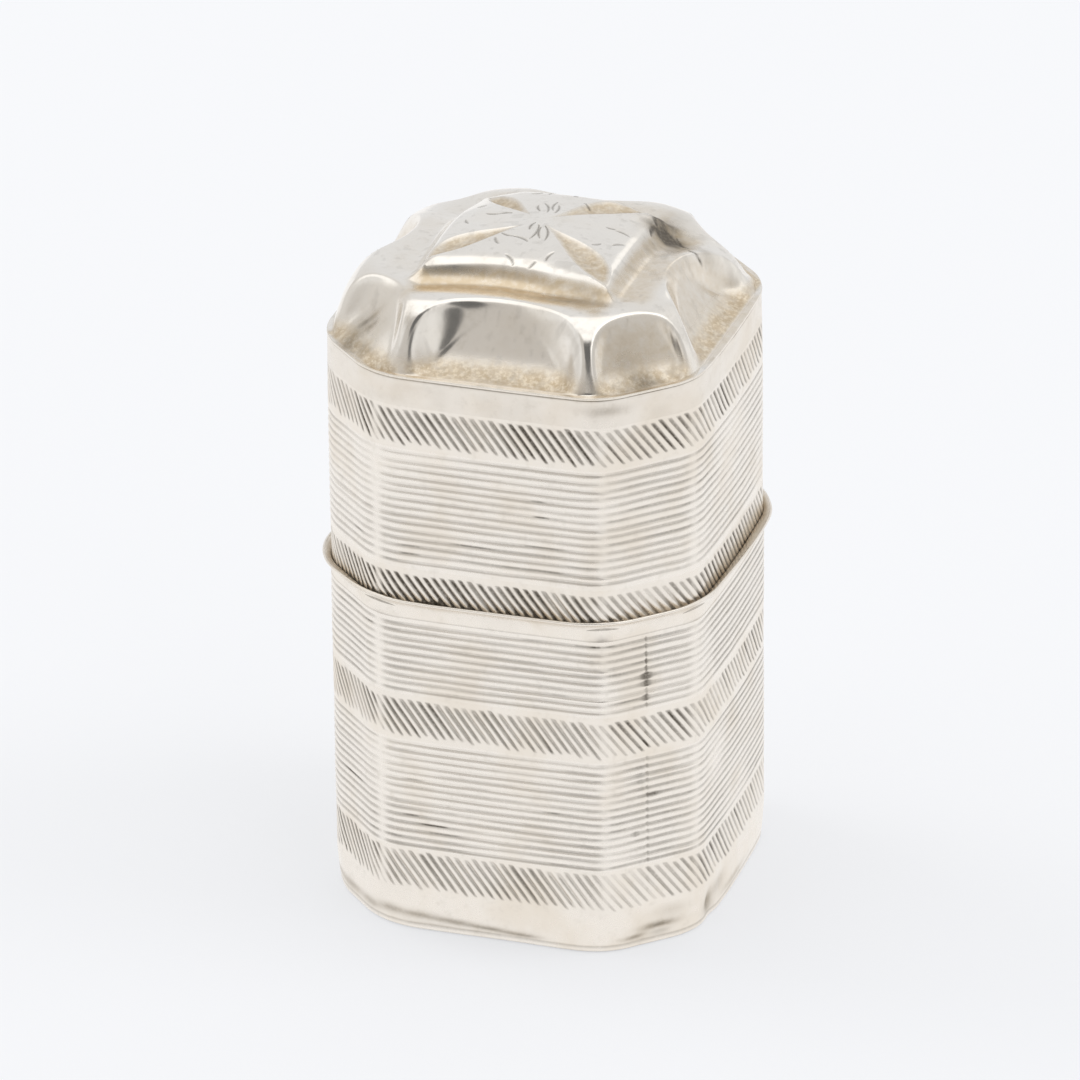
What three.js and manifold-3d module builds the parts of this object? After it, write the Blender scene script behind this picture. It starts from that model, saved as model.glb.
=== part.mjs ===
// A small silver scent box: a square box with cut corners, a flared rim where the lid meets it,
// and a lid on a five-knuckle hinge whose sheet top is embossed with hollows, ribs and a star.
// Millimetres, +Z up. The origin is the centre of the underside, and the hinge is at the back, on +Y.
import * as THREE from "three";
import { mergeVertices } from "three/addons/utils/BufferGeometryUtils.js";
import Module from "manifold-3d";

const wasm = await Module();
wasm.setup();

// Plan of the box: side to side and front to back at the corners, how far the front and the two
// sides bow out past that, the cut at each corner, and the rounding of the upright edges, which is
// wider where the lid wall meets the embossed top.
const boxWidth = 27.2;
const boxDepth = 27.2;
const faceBow = 0.2;
const cornerCut = 5;
const edgeRadius = 4;
const topEdgeRadius = 5.6;
const topEdgeBlend = 3.5;
const leastRadius = 0.1;

// Sheet metal and heights.
const sheet = 0.45;
const baseThickness = 0.5;
const wallHeight = 24;
const rimFootHeight = 0.9;
const lidWallHeight = 17.3;
const domeHeight = 6.95;

// Clearances.
const seatGap = 0.04;
const lidClearance = 0.08;
const solderGap = 0.03;

// Flared rim: how far it stands out, how high its lip rises past the ledge, and the lip's own thickness.
const rimFlare = 0.6;
const lipRise = 0.75;
const lipThickness = 0.36;

// Inner collar.
const collarThickness = 0.4;
const collarRise = 2.7;
const collarDrop = 3.6;

// Hinge: barrel half sunk in the back wall, in the joint between box and lid. The trough wall is the
// thickness of sheet that is left behind the barrel.
const knuckleCount = 5;
const knuckleLength = 2.7;
const knuckleGap = 0.1;
const knuckleRadius = 0.65;
const pinRadius = 0.32;
const pinClearance = 0.04;
const troughWall = 0.13;
const notchClearance = 0.07;
const lipEndClearance = 0.15;
const roundSides = 24;

// Embossed top: sheet, edge bead, the shoulder that the ribs climb to, and the hollows between the ribs.
const domeSheet = 0.4;
const beadOverhang = 0.08;
const beadRadius = 0.15;
const shoulderRise = 4.6;
const shoulderInset = 5;
const ribFoot = 0.7;
const ribFullness = 3;
const ribRounding = 1.2;
const faceHollowWidth = 13.6;
const faceHollowDepth = 4.9;
const cornerHollowWidth = 8.4;
const cornerHollowDepth = 3.8;
const hollowArch = 1.6;
const hollowFloor = 2.5;
const hollowBrow = 1.6;
const hollowFlank = 0.5;

// Star plateau on the top: square with edges that bow in, facets that fall away from the middle, and
// four leaf-shaped flutes along its diagonals.
const plateauWidth = 13.3;
const plateauBow = 0.4;
const plateauRiser = 1.3;
const plateauFall = 0.8;
const plateauFacet = 1.4;
const fluteStart = 1;
const fluteEnd = 9.2;
const fluteWidth = 2;
const fluteDepth = 0.5;
const fluteBelly = 1.7;

// Scent sponge.
const spongeSideGap = 1.1;
const spongeFloorGap = 0.3;
const spongeHeight = 15;
const spongeCrown = 1.5;
const spongeWaist = 0.7;
const spongeEdge = 1.6;

// Mesh fineness.
const arcSteps = 3;
const wallFaceSteps = 4;
const domeFaceSteps = 10;
const domeCutSteps = 4;
const domeRings = 30;
const spongeRings = 8;
const crownRings = 3;
const flareSteps = 4;
const slopeStep = 0.1;
const weldDistance = 1e-4;

// How far the hinge line lies behind the back wall.
const hingeOffset = knuckleRadius + notchClearance + troughWall - sheet;

// Heights worked out from the driving sizes.
const rimFootZ = baseThickness + wallHeight;
const seatZ = rimFootZ + rimFootHeight;
const lipZ = seatZ + lipRise;
const lidFootZ = seatZ + seatGap;
const lidWallTopZ = lidFootZ + lidWallHeight;
const lidEdgeZ = lidWallTopZ + domeSheet;
const domeTopZ = lidWallTopZ + domeHeight;

// As the lid opens, its front wall swings inward while it still passes the collar.
const collarSwing = collarRise ** 2 / (2 * (boxDepth + hingeOffset));
const collarGap = lidClearance + collarSwing;
const collarInset = sheet + collarGap;

// Distance of side k from the middle. Sides are numbered anticlockwise from the right, every 45 degrees.
const sideCount = 8;
const sideAngle = (2 * Math.PI) / sideCount;

function sideDistance(k) {
  const halfSum = (boxWidth + boxDepth) / 2;
  if (k % 2 === 1) return (halfSum - cornerCut) / Math.SQRT2;
  return k % 4 === 0 ? boxWidth / 2 : boxDepth / 2;
}

function direction(angle) {
  return new THREE.Vector2(Math.cos(angle), Math.sin(angle));
}

// Where side k and the next side meet, both moved in by the inset.
function cornerPoint(k, inset) {
  const a = direction(k * sideAngle);
  const b = direction((k + 1) * sideAngle);
  const da = sideDistance(k) - inset;
  const db = sideDistance((k + 1) % sideCount) - inset;
  const cross = a.x * b.y - a.y * b.x;
  return new THREE.Vector2((da * b.y - db * a.y) / cross, (db * a.x - da * b.x) / cross);
}

// The front and the two sides bow out. The hinge side stays flat.
const bowedSides = [0, 4, 6];

function bowOut(point) {
  const moved = point.clone();
  for (const k of bowedSides) {
    const normal = direction(k * sideAngle);
    const half = (k % 4 === 0 ? boxDepth : boxWidth) / 2 - cornerCut;
    const along = (normal.x * point.y - normal.y * point.x) / half;
    const bow = normal.dot(point) > 0 ? faceBow * Math.max(1 - along ** 2, 0) : 0;
    moved.addScaledVector(normal, bow);
  }
  return moved;
}

// The box's plan, moved in by the inset, with rounded edges. The sides can be cut into more steps.
function outline(inset, outerRadius = edgeRadius, faceSteps = wallFaceSteps, cutSteps = 1) {
  const radius = Math.max(outerRadius - inset, leastRadius);
  const points = [];
  for (let k = 0; k < sideCount; k++) {
    const centre = cornerPoint(k, inset + radius);
    for (let i = 0; i <= arcSteps; i++) {
      const along = direction((k + i / arcSteps) * sideAngle);
      points.push(centre.clone().addScaledVector(along, radius));
    }
    const next = cornerPoint((k + 1) % sideCount, inset + radius);
    const normal = direction((k + 1) * sideAngle);
    const steps = (k + 1) % 2 === 0 ? faceSteps : cutSteps;
    for (let i = 1; i < steps; i++) {
      const on = centre.clone().lerp(next, i / steps);
      points.push(on.addScaledVector(normal, radius));
    }
  }
  return points.map(bowOut);
}

function ringAt(points, z) {
  return points.map((p) => new THREE.Vector3(p.x, p.y, z));
}

// A closed surface through rings of points. It ends in two poles, or joins its last ring to its first.
// Each four-sided patch is split along its shorter diagonal, so that ribs and hollows stay smooth.
function loft(rings, poles) {
  const count = rings[0].length;
  const vertices = rings.flat();
  const triangles = [];
  const spans = poles ? rings.length - 1 : rings.length;
  for (let r = 0; r < spans; r++) {
    const low = r * count;
    const high = ((r + 1) % rings.length) * count;
    for (let i = 0; i < count; i++) {
      const j = (i + 1) % count;
      const [a, b, c, d] = [low + i, low + j, high + j, high + i];
      const rising = vertices[a].distanceTo(vertices[c]) <= vertices[b].distanceTo(vertices[d]);
      triangles.push(a, b, rising ? c : d, rising ? a : b, c, d);
    }
  }
  if (poles) {
    const first = vertices.length;
    const last = first + 1;
    const top = (rings.length - 1) * count;
    vertices.push(poles[0], poles[1]);
    for (let i = 0; i < count; i++) {
      const j = (i + 1) % count;
      triangles.push(first, j, i, last, top + i, top + j);
    }
  }
  const geometry = new THREE.BufferGeometry().setFromPoints(vertices);
  geometry.setIndex(triangles);
  return geometry;
}

// A flat-ended strip of sheet that follows the plan, from one height to another.
function sheetStrip(inset, thickness, lowZ, highZ) {
  const shape = new THREE.Shape(outline(inset));
  if (thickness) shape.holes.push(new THREE.Path(outline(inset + thickness)));
  const geometry = new THREE.ExtrudeGeometry(shape, { depth: highZ - lowZ, bevelEnabled: false });
  return geometry.translate(0, 0, lowZ);
}

function toSolid(geometry) {
  const bare = geometry.clone();
  bare.deleteAttribute("normal");
  bare.deleteAttribute("uv");
  const merged = mergeVertices(bare, weldDistance);
  const vertProperties = new Float32Array(merged.attributes.position.array);
  const triVerts = new Uint32Array(merged.index.array);
  return new wasm.Manifold(new wasm.Mesh({ numProp: 3, vertProperties, triVerts }));
}

function toGeometry(solid) {
  const { vertProperties, triVerts } = solid.getMesh();
  const geometry = new THREE.BufferGeometry();
  geometry.setAttribute("position", new THREE.BufferAttribute(vertProperties, 3));
  geometry.setIndex(new THREE.BufferAttribute(triVerts, 1));
  geometry.computeVertexNormals();
  return geometry;
}

// Hinge line: along X, level with the ledge that the lid sits on.
const hingeY = boxDepth / 2 + hingeOffset;
const hingeZ = seatZ;
const barrelLength = knuckleCount * knuckleLength + (knuckleCount - 1) * knuckleGap;

function onHingeLine(geometry, x) {
  return geometry.rotateZ(-Math.PI / 2).translate(x, hingeY, hingeZ);
}

// The trough that the barrel lies in, cut half from the rim and half from the lid.
function barrelTrough() {
  const radius = knuckleRadius + notchClearance;
  const length = barrelLength + 2 * knuckleGap;
  return toSolid(onHingeLine(new THREE.CylinderGeometry(radius, radius, length, roundSides), 0));
}

// The lip stops short of the hinge, far enough round the corners for the lid's edge to swing past it.
function lipOpening() {
  const flatHalf = cornerPoint(1, 0).x;
  const cornerGap = (rimFlare - lipThickness) * Math.SQRT2;
  const swingReach = (lipRise ** 2 + cornerGap ** 2) / (2 * cornerGap) - hingeOffset;
  const half = flatHalf + swingReach + lipEndClearance;
  const depth = cornerCut + rimFlare;
  const height = 2 * lipRise;
  const block = new THREE.BoxGeometry(2 * half, depth, height);
  return toSolid(block.translate(0, boxDepth / 2 + rimFlare, seatZ + height / 2));
}

// Rim section, as insets from the wall's outer face (minus is outward) and heights.
function rimGeometry() {
  const lipIn = lipThickness - rimFlare;
  const lipCorner = lipThickness / 2;
  const backInset = collarInset - solderGap;
  const flare = new THREE.QuadraticBezierCurve(
    new THREE.Vector2(0, rimFootZ),
    new THREE.Vector2(0, seatZ),
    new THREE.Vector2(-rimFlare, lipZ - lipCorner),
  );
  const section = [
    ...flare.getPoints(flareSteps),
    new THREE.Vector2(lipCorner - rimFlare, lipZ),
    new THREE.Vector2(lipIn, lipZ - lipCorner),
    new THREE.Vector2(lipIn, seatZ),
    new THREE.Vector2(backInset, seatZ),
    new THREE.Vector2(backInset, rimFootZ),
  ];
  const rings = section.map((p) => ringAt(outline(p.x), p.y));
  return toGeometry(toSolid(loft(rings)).subtract(lipOpening()).subtract(barrelTrough()));
}

// The lid's wall: its upright edges grow rounder towards the top.
function lidWallGeometry() {
  const blendZ = lidWallTopZ - topEdgeBlend;
  const rings = [
    ringAt(outline(0), lidFootZ),
    ringAt(outline(0), blendZ),
    ringAt(outline(0, topEdgeRadius), lidWallTopZ),
    ringAt(outline(sheet, topEdgeRadius), lidWallTopZ),
    ringAt(outline(sheet), blendZ),
    ringAt(outline(sheet), lidFootZ),
  ];
  return toGeometry(toSolid(loft(rings)).subtract(barrelTrough()));
}

const clamp01 = (x) => THREE.MathUtils.clamp(x, 0, 1);
const smooth = (x) => THREE.MathUtils.smoothstep(x, 0, 1);

// Rise of the full ribs and shoulder, at a distance in from the lid's edge.
function ribRise(inset) {
  const run = clamp01((inset - ribFoot) / (shoulderInset - ribFoot));
  return shoulderRise * (1 - (1 - run) ** ribFullness);
}

// Rise of a hollow's floor and back: flat near the lid's edge, steep behind, rounded at the brow.
function hollowRise(inset, depth) {
  const run = clamp01(inset / depth);
  return ribRise(depth) * (1 - (1 - run ** hollowFloor) ** hollowBrow);
}

// Height of the outer surface of the lid's top above the lid's edge.
function domeRise(x, y) {
  const insets = [];
  for (let k = 0; k < sideCount; k++) {
    const n = direction(k * sideAngle);
    insets.push(sideDistance(k) - n.x * x - n.y * y);
  }
  const [nearest, next] = [...insets].sort((a, b) => a - b);
  const crest = Math.max(ribRounding - (next - nearest), 0) ** 2 / (4 * ribRounding);
  const full = ribRise(Math.max(nearest - crest, 0));
  let rise = full;
  for (let k = 0; k < sideCount; k++) {
    const n = direction(k * sideAngle);
    const along = Math.abs(n.x * y - n.y * x);
    const corner = k % 2 === 1;
    const width = corner ? cornerHollowWidth : faceHollowWidth;
    const depth = corner ? cornerHollowDepth : faceHollowDepth;
    const arch = ((2 * along) / width) ** hollowArch + (Math.max(insets[k], 0) / depth) ** hollowArch;
    const pressed = 1 - smooth((arch - hollowFlank) / (1 - hollowFlank));
    rise -= pressed * Math.max(full - hollowRise(insets[k], depth), 0);
  }
  return rise + plateauRise(x, y, rise);
}

// Extra height of the star plateau over the shoulder around it.
function plateauRise(x, y, around) {
  const half = plateauWidth / 2;
  const far = Math.max(Math.abs(x), Math.abs(y));
  const near = Math.min(Math.abs(x), Math.abs(y));
  const edge = half - plateauBow * (1 - clamp01(near / half) ** 2);
  const onTop = (1 - clamp01((far - edge) / plateauRiser)) ** 2;
  const cap = domeTopZ - lidEdgeZ - plateauFall * (far / half) ** plateauFacet;
  const along = (Math.abs(x) + Math.abs(y)) / Math.SQRT2;
  const across = Math.abs(Math.abs(x) - Math.abs(y)) / Math.SQRT2;
  const run = clamp01((along - fluteStart) / (fluteEnd - fluteStart));
  const leaf = Math.sin(Math.PI * run ** fluteBelly);
  const dip = leaf > 0 ? clamp01(1 - ((2 * across) / (fluteWidth * leaf)) ** 2) * leaf : 0;
  return onTop * (Math.max(cap - around, 0) - fluteDepth * dip);
}

// How much lower the inside lies, so that the sheet keeps its thickness on the slopes.
function sheetDrop(x, y) {
  const dx = (domeRise(x + slopeStep, y) - domeRise(x - slopeStep, y)) / (2 * slopeStep);
  const dy = (domeRise(x, y + slopeStep) - domeRise(x, y - slopeStep)) / (2 * slopeStep);
  return domeSheet * Math.hypot(1, dx, dy);
}

function domeGeometry() {
  const edge = outline(-beadOverhang, topEdgeRadius, domeFaceSteps, domeCutSteps);
  const outside = [];
  const inside = [];
  for (let r = 0; r < domeRings; r++) {
    const plan = outline(0, topEdgeRadius, domeFaceSteps, domeCutSteps);
    plan.forEach((p) => p.multiplyScalar(1 - r / domeRings));
    outside.push(plan.map((p) => new THREE.Vector3(p.x, p.y, lidEdgeZ + domeRise(p.x, p.y))));
    inside.push(
      plan.map((p) => {
        const z = lidEdgeZ + domeRise(p.x, p.y) - sheetDrop(p.x, p.y);
        return new THREE.Vector3(p.x, p.y, Math.max(z, lidWallTopZ));
      }),
    );
  }
  const bead = [ringAt(edge, lidWallTopZ), ringAt(edge, lidEdgeZ - beadRadius)];
  const top = new THREE.Vector3(0, 0, lidEdgeZ + domeRise(0, 0));
  const under = new THREE.Vector3(0, 0, top.z - domeSheet);
  return loft([...inside.slice(1).reverse(), ...bead, ...outside], [under, top]);
}

// The sponge: a soft block with a crown and drawn-in sides, standing on the base plate.
function spongeGeometry() {
  const footZ = baseThickness + spongeFloorGap;
  const brimZ = footZ + spongeHeight - spongeCrown;
  const rings = [];
  for (let i = 0; i <= spongeRings; i++) {
    const part = i / spongeRings;
    const rounding = spongeEdge * (2 * part - 1) ** 4;
    const waist = spongeWaist * Math.sin(Math.PI * part) ** 2;
    const plan = outline(sheet + spongeSideGap + rounding + waist);
    rings.push(ringAt(plan, footZ + part * (brimZ - footZ)));
  }
  const brim = rings[spongeRings];
  for (let i = 1; i < crownRings; i++) {
    const reach = 1 - i / crownRings;
    const z = brimZ + spongeCrown * (1 - reach ** 2);
    rings.push(brim.map((p) => new THREE.Vector3(p.x * reach, p.y * reach, z)));
  }
  const foot = new THREE.Vector3(0, 0, footZ);
  const crown = new THREE.Vector3(0, 0, footZ + spongeHeight);
  return loft(rings, [foot, crown]);
}

function knuckleGeometry(index) {
  const bore = pinRadius + pinClearance;
  const half = knuckleLength / 2;
  const profile = [
    [bore, -half],
    [knuckleRadius, -half],
    [knuckleRadius, half],
    [bore, half],
    [bore, -half],
  ].map(([r, along]) => new THREE.Vector2(r, along));
  const x = (index - (knuckleCount - 1) / 2) * (knuckleLength + knuckleGap);
  return onHingeLine(new THREE.LatheGeometry(profile, roundSides), x);
}

function pinGeometry() {
  return onHingeLine(new THREE.CylinderGeometry(pinRadius, pinRadius, barrelLength, roundSides), 0);
}

// Finishes.
const reededSilver = { color: 0xe9e2d8, roughness: 0.34, metalness: 1 };
const embossedSilver = { color: 0xebe6de, roughness: 0.2, metalness: 1 };
const plainSilver = { color: 0xe4dccf, roughness: 0.38, metalness: 1 };
const hingeSilver = { color: 0xd9d2c6, roughness: 0.42, metalness: 1 };
const sponge = { color: 0xd8b878, roughness: 1, metalness: 0 };

const scentBox = new THREE.Group();
scentBox.name = "scent_box";

function addPiece(name, geometry, finish) {
  const mesh = new THREE.Mesh(geometry, new THREE.MeshStandardMaterial(finish));
  mesh.name = name;
  scentBox.add(mesh);
}

addPiece("base_plate", sheetStrip(0, 0, 0, baseThickness), plainSilver);
addPiece("box_wall", sheetStrip(0, sheet, baseThickness, rimFootZ), reededSilver);
addPiece("box_rim", rimGeometry(), plainSilver);
addPiece(
  "box_collar",
  sheetStrip(collarInset, collarThickness, rimFootZ - collarDrop, seatZ + collarRise),
  plainSilver,
);
addPiece("lid_wall", lidWallGeometry(), reededSilver);
addPiece("lid_top", domeGeometry(), embossedSilver);
for (let i = 0; i < knuckleCount; i++) {
  addPiece(`hinge_knuckle_${i + 1}`, knuckleGeometry(i), hingeSilver);
}
addPiece("hinge_pin", pinGeometry(), hingeSilver);
addPiece("scent_sponge", spongeGeometry(), sponge);

export default scentBox;
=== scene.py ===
import math

import bmesh
import bpy
import numpy as np
from mathutils import Matrix, Vector


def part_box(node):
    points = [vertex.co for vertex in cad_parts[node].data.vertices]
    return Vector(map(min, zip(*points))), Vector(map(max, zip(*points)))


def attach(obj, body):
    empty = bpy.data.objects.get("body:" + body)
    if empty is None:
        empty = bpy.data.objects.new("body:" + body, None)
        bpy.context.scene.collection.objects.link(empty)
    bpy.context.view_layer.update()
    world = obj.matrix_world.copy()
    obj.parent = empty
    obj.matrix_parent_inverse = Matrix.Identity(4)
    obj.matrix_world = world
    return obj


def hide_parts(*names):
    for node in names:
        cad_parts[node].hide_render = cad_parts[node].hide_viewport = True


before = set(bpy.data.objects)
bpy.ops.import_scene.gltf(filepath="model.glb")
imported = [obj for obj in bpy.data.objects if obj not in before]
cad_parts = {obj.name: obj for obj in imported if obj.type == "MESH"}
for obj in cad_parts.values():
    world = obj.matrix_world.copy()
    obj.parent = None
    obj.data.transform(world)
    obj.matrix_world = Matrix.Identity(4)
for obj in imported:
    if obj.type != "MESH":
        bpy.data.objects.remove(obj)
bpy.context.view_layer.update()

# Sizes in millimetres, taken from the solids where they give them.
MM = 0.001


def height(node, end):
    """Height of a solid's underside (0) or top (1)."""
    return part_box(node)[end].z / MM


# The plan is square at its corners. The back is flat, so it gives the size.
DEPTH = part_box("box_wall")[1].y / MM * 2
WIDTH = DEPTH
# The corners aren't alike: the cut and the rounding at each, anticlockwise from the back right.
CORNER_CUTS = (5.0, 5.0, 5.2, 5.25)
CORNER_ROUNDS = (4.0, 4.0, 4.2, 3.0)
# A rounding stays under this many times its cut.
MOST_ROUNDING = 1.65
CORNER_STEPS = 24
LID_ROUNDING = 0.8
TOP_ROUNDING = 1.5
TOP_EDGE_BLEND = 3.5
# The faces, anticlockwise from the right: how far each lies out of the square, how far it bows out,
# and where its middle is on the way round.
FACE_OUTS = (0.0, 0.0, 0.22, 0.0)
FACE_BOWS = (0.30, 0.0, 0.10, 0.18)
FACE_MIDDLES = (0.75, 0.0, 0.25, 0.5)
BOW_HALF = 8.5
SHEET = 0.45
BASE_TOP = height("base_plate", 1)
RIM_FOOT = height("box_rim", 0)
LIP_TOP = height("box_rim", 1)
SEAT = 25.4
LID_FOOT = height("lid_wall", 0)
LID_WALL_TOP = height("lid_wall", 1)
LID_BAND_TOP = LID_WALL_TOP + 0.22
LID_EDGE = LID_WALL_TOP + 0.4
DOME_TOP = LID_WALL_TOP + 6.95
COLLAR_FOOT = height("box_collar", 0)
COLLAR_TOP = height("box_collar", 1)
COLLAR_INSET = 0.662
COLLAR_SHEET = 0.4
COLLAR_GAP = 0.03
HINGE_Y = (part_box("hinge_pin")[0].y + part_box("hinge_pin")[1].y) / 2 / MM
HINGE_Z = (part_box("hinge_pin")[0].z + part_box("hinge_pin")[1].z) / 2 / MM
BARREL_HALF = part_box("hinge_pin")[1].x / MM
TROUGH_RADIUS = 0.72
BARREL_GAP = 0.1
SIDES = 8
COLUMNS = 360
WELD = 1e-7


def smooth(x):
    """A soft step from 0 to 1."""
    x = np.clip(x, 0, 1)
    return x * x * (3 - 2 * x)


def wander(seed, knots, u):
    """A smooth random line from -1 to 1 that closes round the box."""
    values = np.random.default_rng(seed).uniform(-1, 1, knots)
    place = np.mod(u, 1) * knots
    knot = np.floor(place).astype(int)
    part = smooth(place - knot)
    return values[knot % knots] * (1 - part) + values[(knot + 1) % knots] * part


def mottle(seed, u, z, across, tall):
    """Smooth random patches on a wall, from -1 to 1: so many round the box, each so many millimetres tall."""
    stack = 64
    values = np.random.default_rng(seed).uniform(-1, 1, (stack, across))
    x = np.mod(u, 1) * across
    y = z / tall
    column = np.floor(x).astype(int)
    row = np.floor(y).astype(int)
    right = smooth(x - column)
    up = smooth(y - row)
    low = values[row % stack, column % across] * (1 - right)
    low = low + values[row % stack, (column + 1) % across] * right
    high = values[(row + 1) % stack, column % across] * (1 - right)
    high = high + values[(row + 1) % stack, (column + 1) % across] * right
    return low * (1 - up) + high * up


# The plan of the box: eight sides, numbered anticlockwise from the right.
def side_out(k):
    """The way out of side k."""
    return np.array((math.cos(k * math.pi / 4), math.sin(k * math.pi / 4)))


def side_distance(k):
    """How far side k lies from the middle."""
    if k % 2:
        return ((WIDTH + DEPTH) / 2 - CORNER_CUTS[k // 2]) / math.sqrt(2)
    return (WIDTH if k % 4 == 0 else DEPTH) / 2 + FACE_OUTS[k // 2]


def corner_point(k, inset):
    """Where side k and the next one meet, both moved in by the inset."""
    sides = np.stack((side_out(k), side_out(k + 1)))
    reach = (side_distance(k % SIDES) - inset, side_distance((k + 1) % SIDES) - inset)
    return np.linalg.solve(sides, reach)


def plan_path(rounder):
    """The plan from the middle of the back: shares of the way round, points, turns there, whole length."""
    points = [np.array((0, DEPTH / 2))]
    turns = [math.pi / 2]
    for k in range(2, SIDES + 2):
        corner = (k % SIDES) // 2 if k % 2 else (k + 1) % SIDES // 2
        radius = min(CORNER_ROUNDS[corner] + rounder, MOST_ROUNDING * CORNER_CUTS[corner])
        centre = corner_point(k, radius)
        for i in range(CORNER_STEPS + 1):
            turn = (k + i / CORNER_STEPS) * math.pi / 4
            points.append(centre + radius * np.array((math.cos(turn), math.sin(turn))))
            turns.append(turn)
    points.append(points[0])
    turns.append(turns[0] + 2 * math.pi)
    points = np.array(points)
    length = np.concatenate(((0,), np.cumsum(np.linalg.norm(np.diff(points, axis=0), axis=1))))
    return length / length[-1], points, np.array(turns), length[-1]


PERIMETER = plan_path(0)[3]


def edge_shares():
    """The share of the way round at the middle of each upright edge."""
    share, _, turns, _ = plan_path(0)
    return [np.interp((k + 0.5) * math.pi / 4, turns, share) for k in range(2, SIDES + 2)]


EDGE_SHARES = edge_shares()


def away(u, place):
    """Distance along the wall from a place, in millimetres."""
    return (np.mod(u - place + 0.5, 1) - 0.5) * PERIMETER


def by_place(u, places, values):
    """A value that is given at places round the box."""
    return np.interp(np.mod(u, 1), places, values)


def spot(u, z, place, middle, wide, tall):
    """1 at a place on the wall, fading out over its half width and half height."""
    return np.exp(-((away(u, place) / wide) ** 2) - ((z - middle) / tall) ** 2)


def with_spots(value, spots, u, z):
    """Adds soft spots on the wall to a value. Each has place, height, half width, half height, strength."""
    for *where, strong in spots:
        value = value + strong * spot(u, z, *where)
    return value


def on_edge(u, wide):
    """1 on the upright edges, 0 away from them."""
    return np.max([np.exp(-((away(u, place) / wide) ** 2)) for place in EDGE_SHARES], axis=0)


# How far the upright edges are rubbed smooth round the box: most at the front left.
WEAR_PLACES = (0.0, 0.36, 0.40, 0.43, 0.55, 0.60, 0.66, 1.0)
WEAR = (0.5, 0.5, 0.9, 0.9, 0.6, 0.6, 0.5, 0.5)
WEAR_WIDTH = 0.36


def edge_wear(u):
    """How far the upright edges are rubbed smooth."""
    return by_place(u, WEAR_PLACES, WEAR) * on_edge(u, WEAR_WIDTH)


def bow(u):
    """How far the faces bow out of their flats."""
    out = 0
    for place, most in zip(FACE_MIDDLES, FACE_BOWS):
        out = out + most * np.clip(1 - (away(u, place) / BOW_HALF) ** 2, 0, 1)
    return out


def plan(u, rounder=0.0):
    """Points of the plan and the ways out of it. u goes round from the middle of the back, by the left."""
    share, points, turns, _ = plan_path(rounder)
    u = np.mod(u, 1)
    flat = np.stack((np.interp(u, share, points[:, 0]), np.interp(u, share, points[:, 1])), -1)
    turn = np.interp(u, share, turns)
    out = np.stack((np.cos(turn), np.sin(turn)), -1)
    return flat + out * bow(u)[..., None], out


def ring(u, z, inset, rounder=0.0):
    """One row of places on the plan, moved in by the inset."""
    flat, out = plan(u, rounder)
    places = np.empty((len(u), 3))
    places[:, :2] = flat - out * np.broadcast_to(inset, len(u))[:, None]
    places[:, 2] = z
    return places


FOOT_ROUNDING = 2.6
FOOT_BLEND = 3.2


def foot_rounder(z):
    """The box's upright edges are rounder at its foot."""
    return FOOT_ROUNDING * smooth((FOOT_BLEND - z) / FOOT_BLEND)


def lid_rounder(z):
    """The lid's upright edges are rounder than the box's, and more so towards the top."""
    near_top = np.clip((z - (LID_WALL_TOP - TOP_EDGE_BLEND)) / TOP_EDGE_BLEND, 0, 1)
    return LID_ROUNDING + (TOP_ROUNDING - LID_ROUNDING) * near_top


def wall_rounder(body, z):
    """How much rounder the upright edges of the box or the lid are at a height."""
    return lid_rounder(z) if body == "lid" else foot_rounder(z)


# Dents in the walls: place round the box, height, half width, half height, depth.
DENTS = (
    (0.425, 1.0, 1.8, 0.40, 0.14),
    (0.455, 0.85, 2.0, 0.35, 0.15),
    (0.49, 0.70, 2.0, 0.30, 0.14),
    (0.52, 0.55, 2.0, 0.25, 0.10),
    (0.375, 1.0, 1.8, 0.40, 0.10),
    (0.632, 1.05, 1.6, 0.40, 0.28),
    (0.612, 0.70, 1.0, 0.30, 0.12),
    (0.686, 1.3, 0.9, 1.0, 0.34),
    (0.71, 2.0, 1.2, 0.9, 0.14),
    (0.60, 6.4, 1.6, 1.2, 0.05),
    (0.60, 15.6, 1.2, 1.0, 0.06),
    (0.56, 33.0, 3.0, 4.0, -0.06),
    (0.47, 31.0, 3.4, 3.4, 0.06),
    (0.46, 11.0, 3.0, 3.6, -0.05),
    (0.72, 12.0, 2.6, 3.0, 0.06),
    (0.30, 13.0, 3.0, 4.0, 0.06),
    (0.20, 33.0, 3.0, 4.0, -0.06),
    (0.04, 12.0, 4.0, 4.0, 0.07),
)
# Waves in the sheet: depth, seed, how many round the box, and their height.
WAVES = ((0.035, 3, 22, 5.0), (0.012, 4, 64, 1.6))
EDGE_STANDS_OUT = 0.03
STANDING_WIDTH = 0.5
# The wall's soldered seam, on the front right cut. Its darkest stretch: height, half height, how much darker.
SEAM = EDGE_SHARES[4] + 0.45 * (EDGE_SHARES[5] - EDGE_SHARES[4])
SEAM_FOOT = 3
SEAM_WIDTH = 0.12
SEAM_DEPTH = 0.05
SEAM_STAIN_WIDTH = 0.10
SEAM_TONE = 0.28
SEAM_DARKEST = (21.5, 2.2, 0.4)


def on_seam(u, z, wide):
    """1 on the seam, between the foot and the rim, 0 away from it."""
    return np.exp(-((away(u, SEAM) / wide) ** 2)) * smooth((RIM_FOOT - z) / 0.1) * smooth((z - SEAM_FOOT) / 2)


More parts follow.
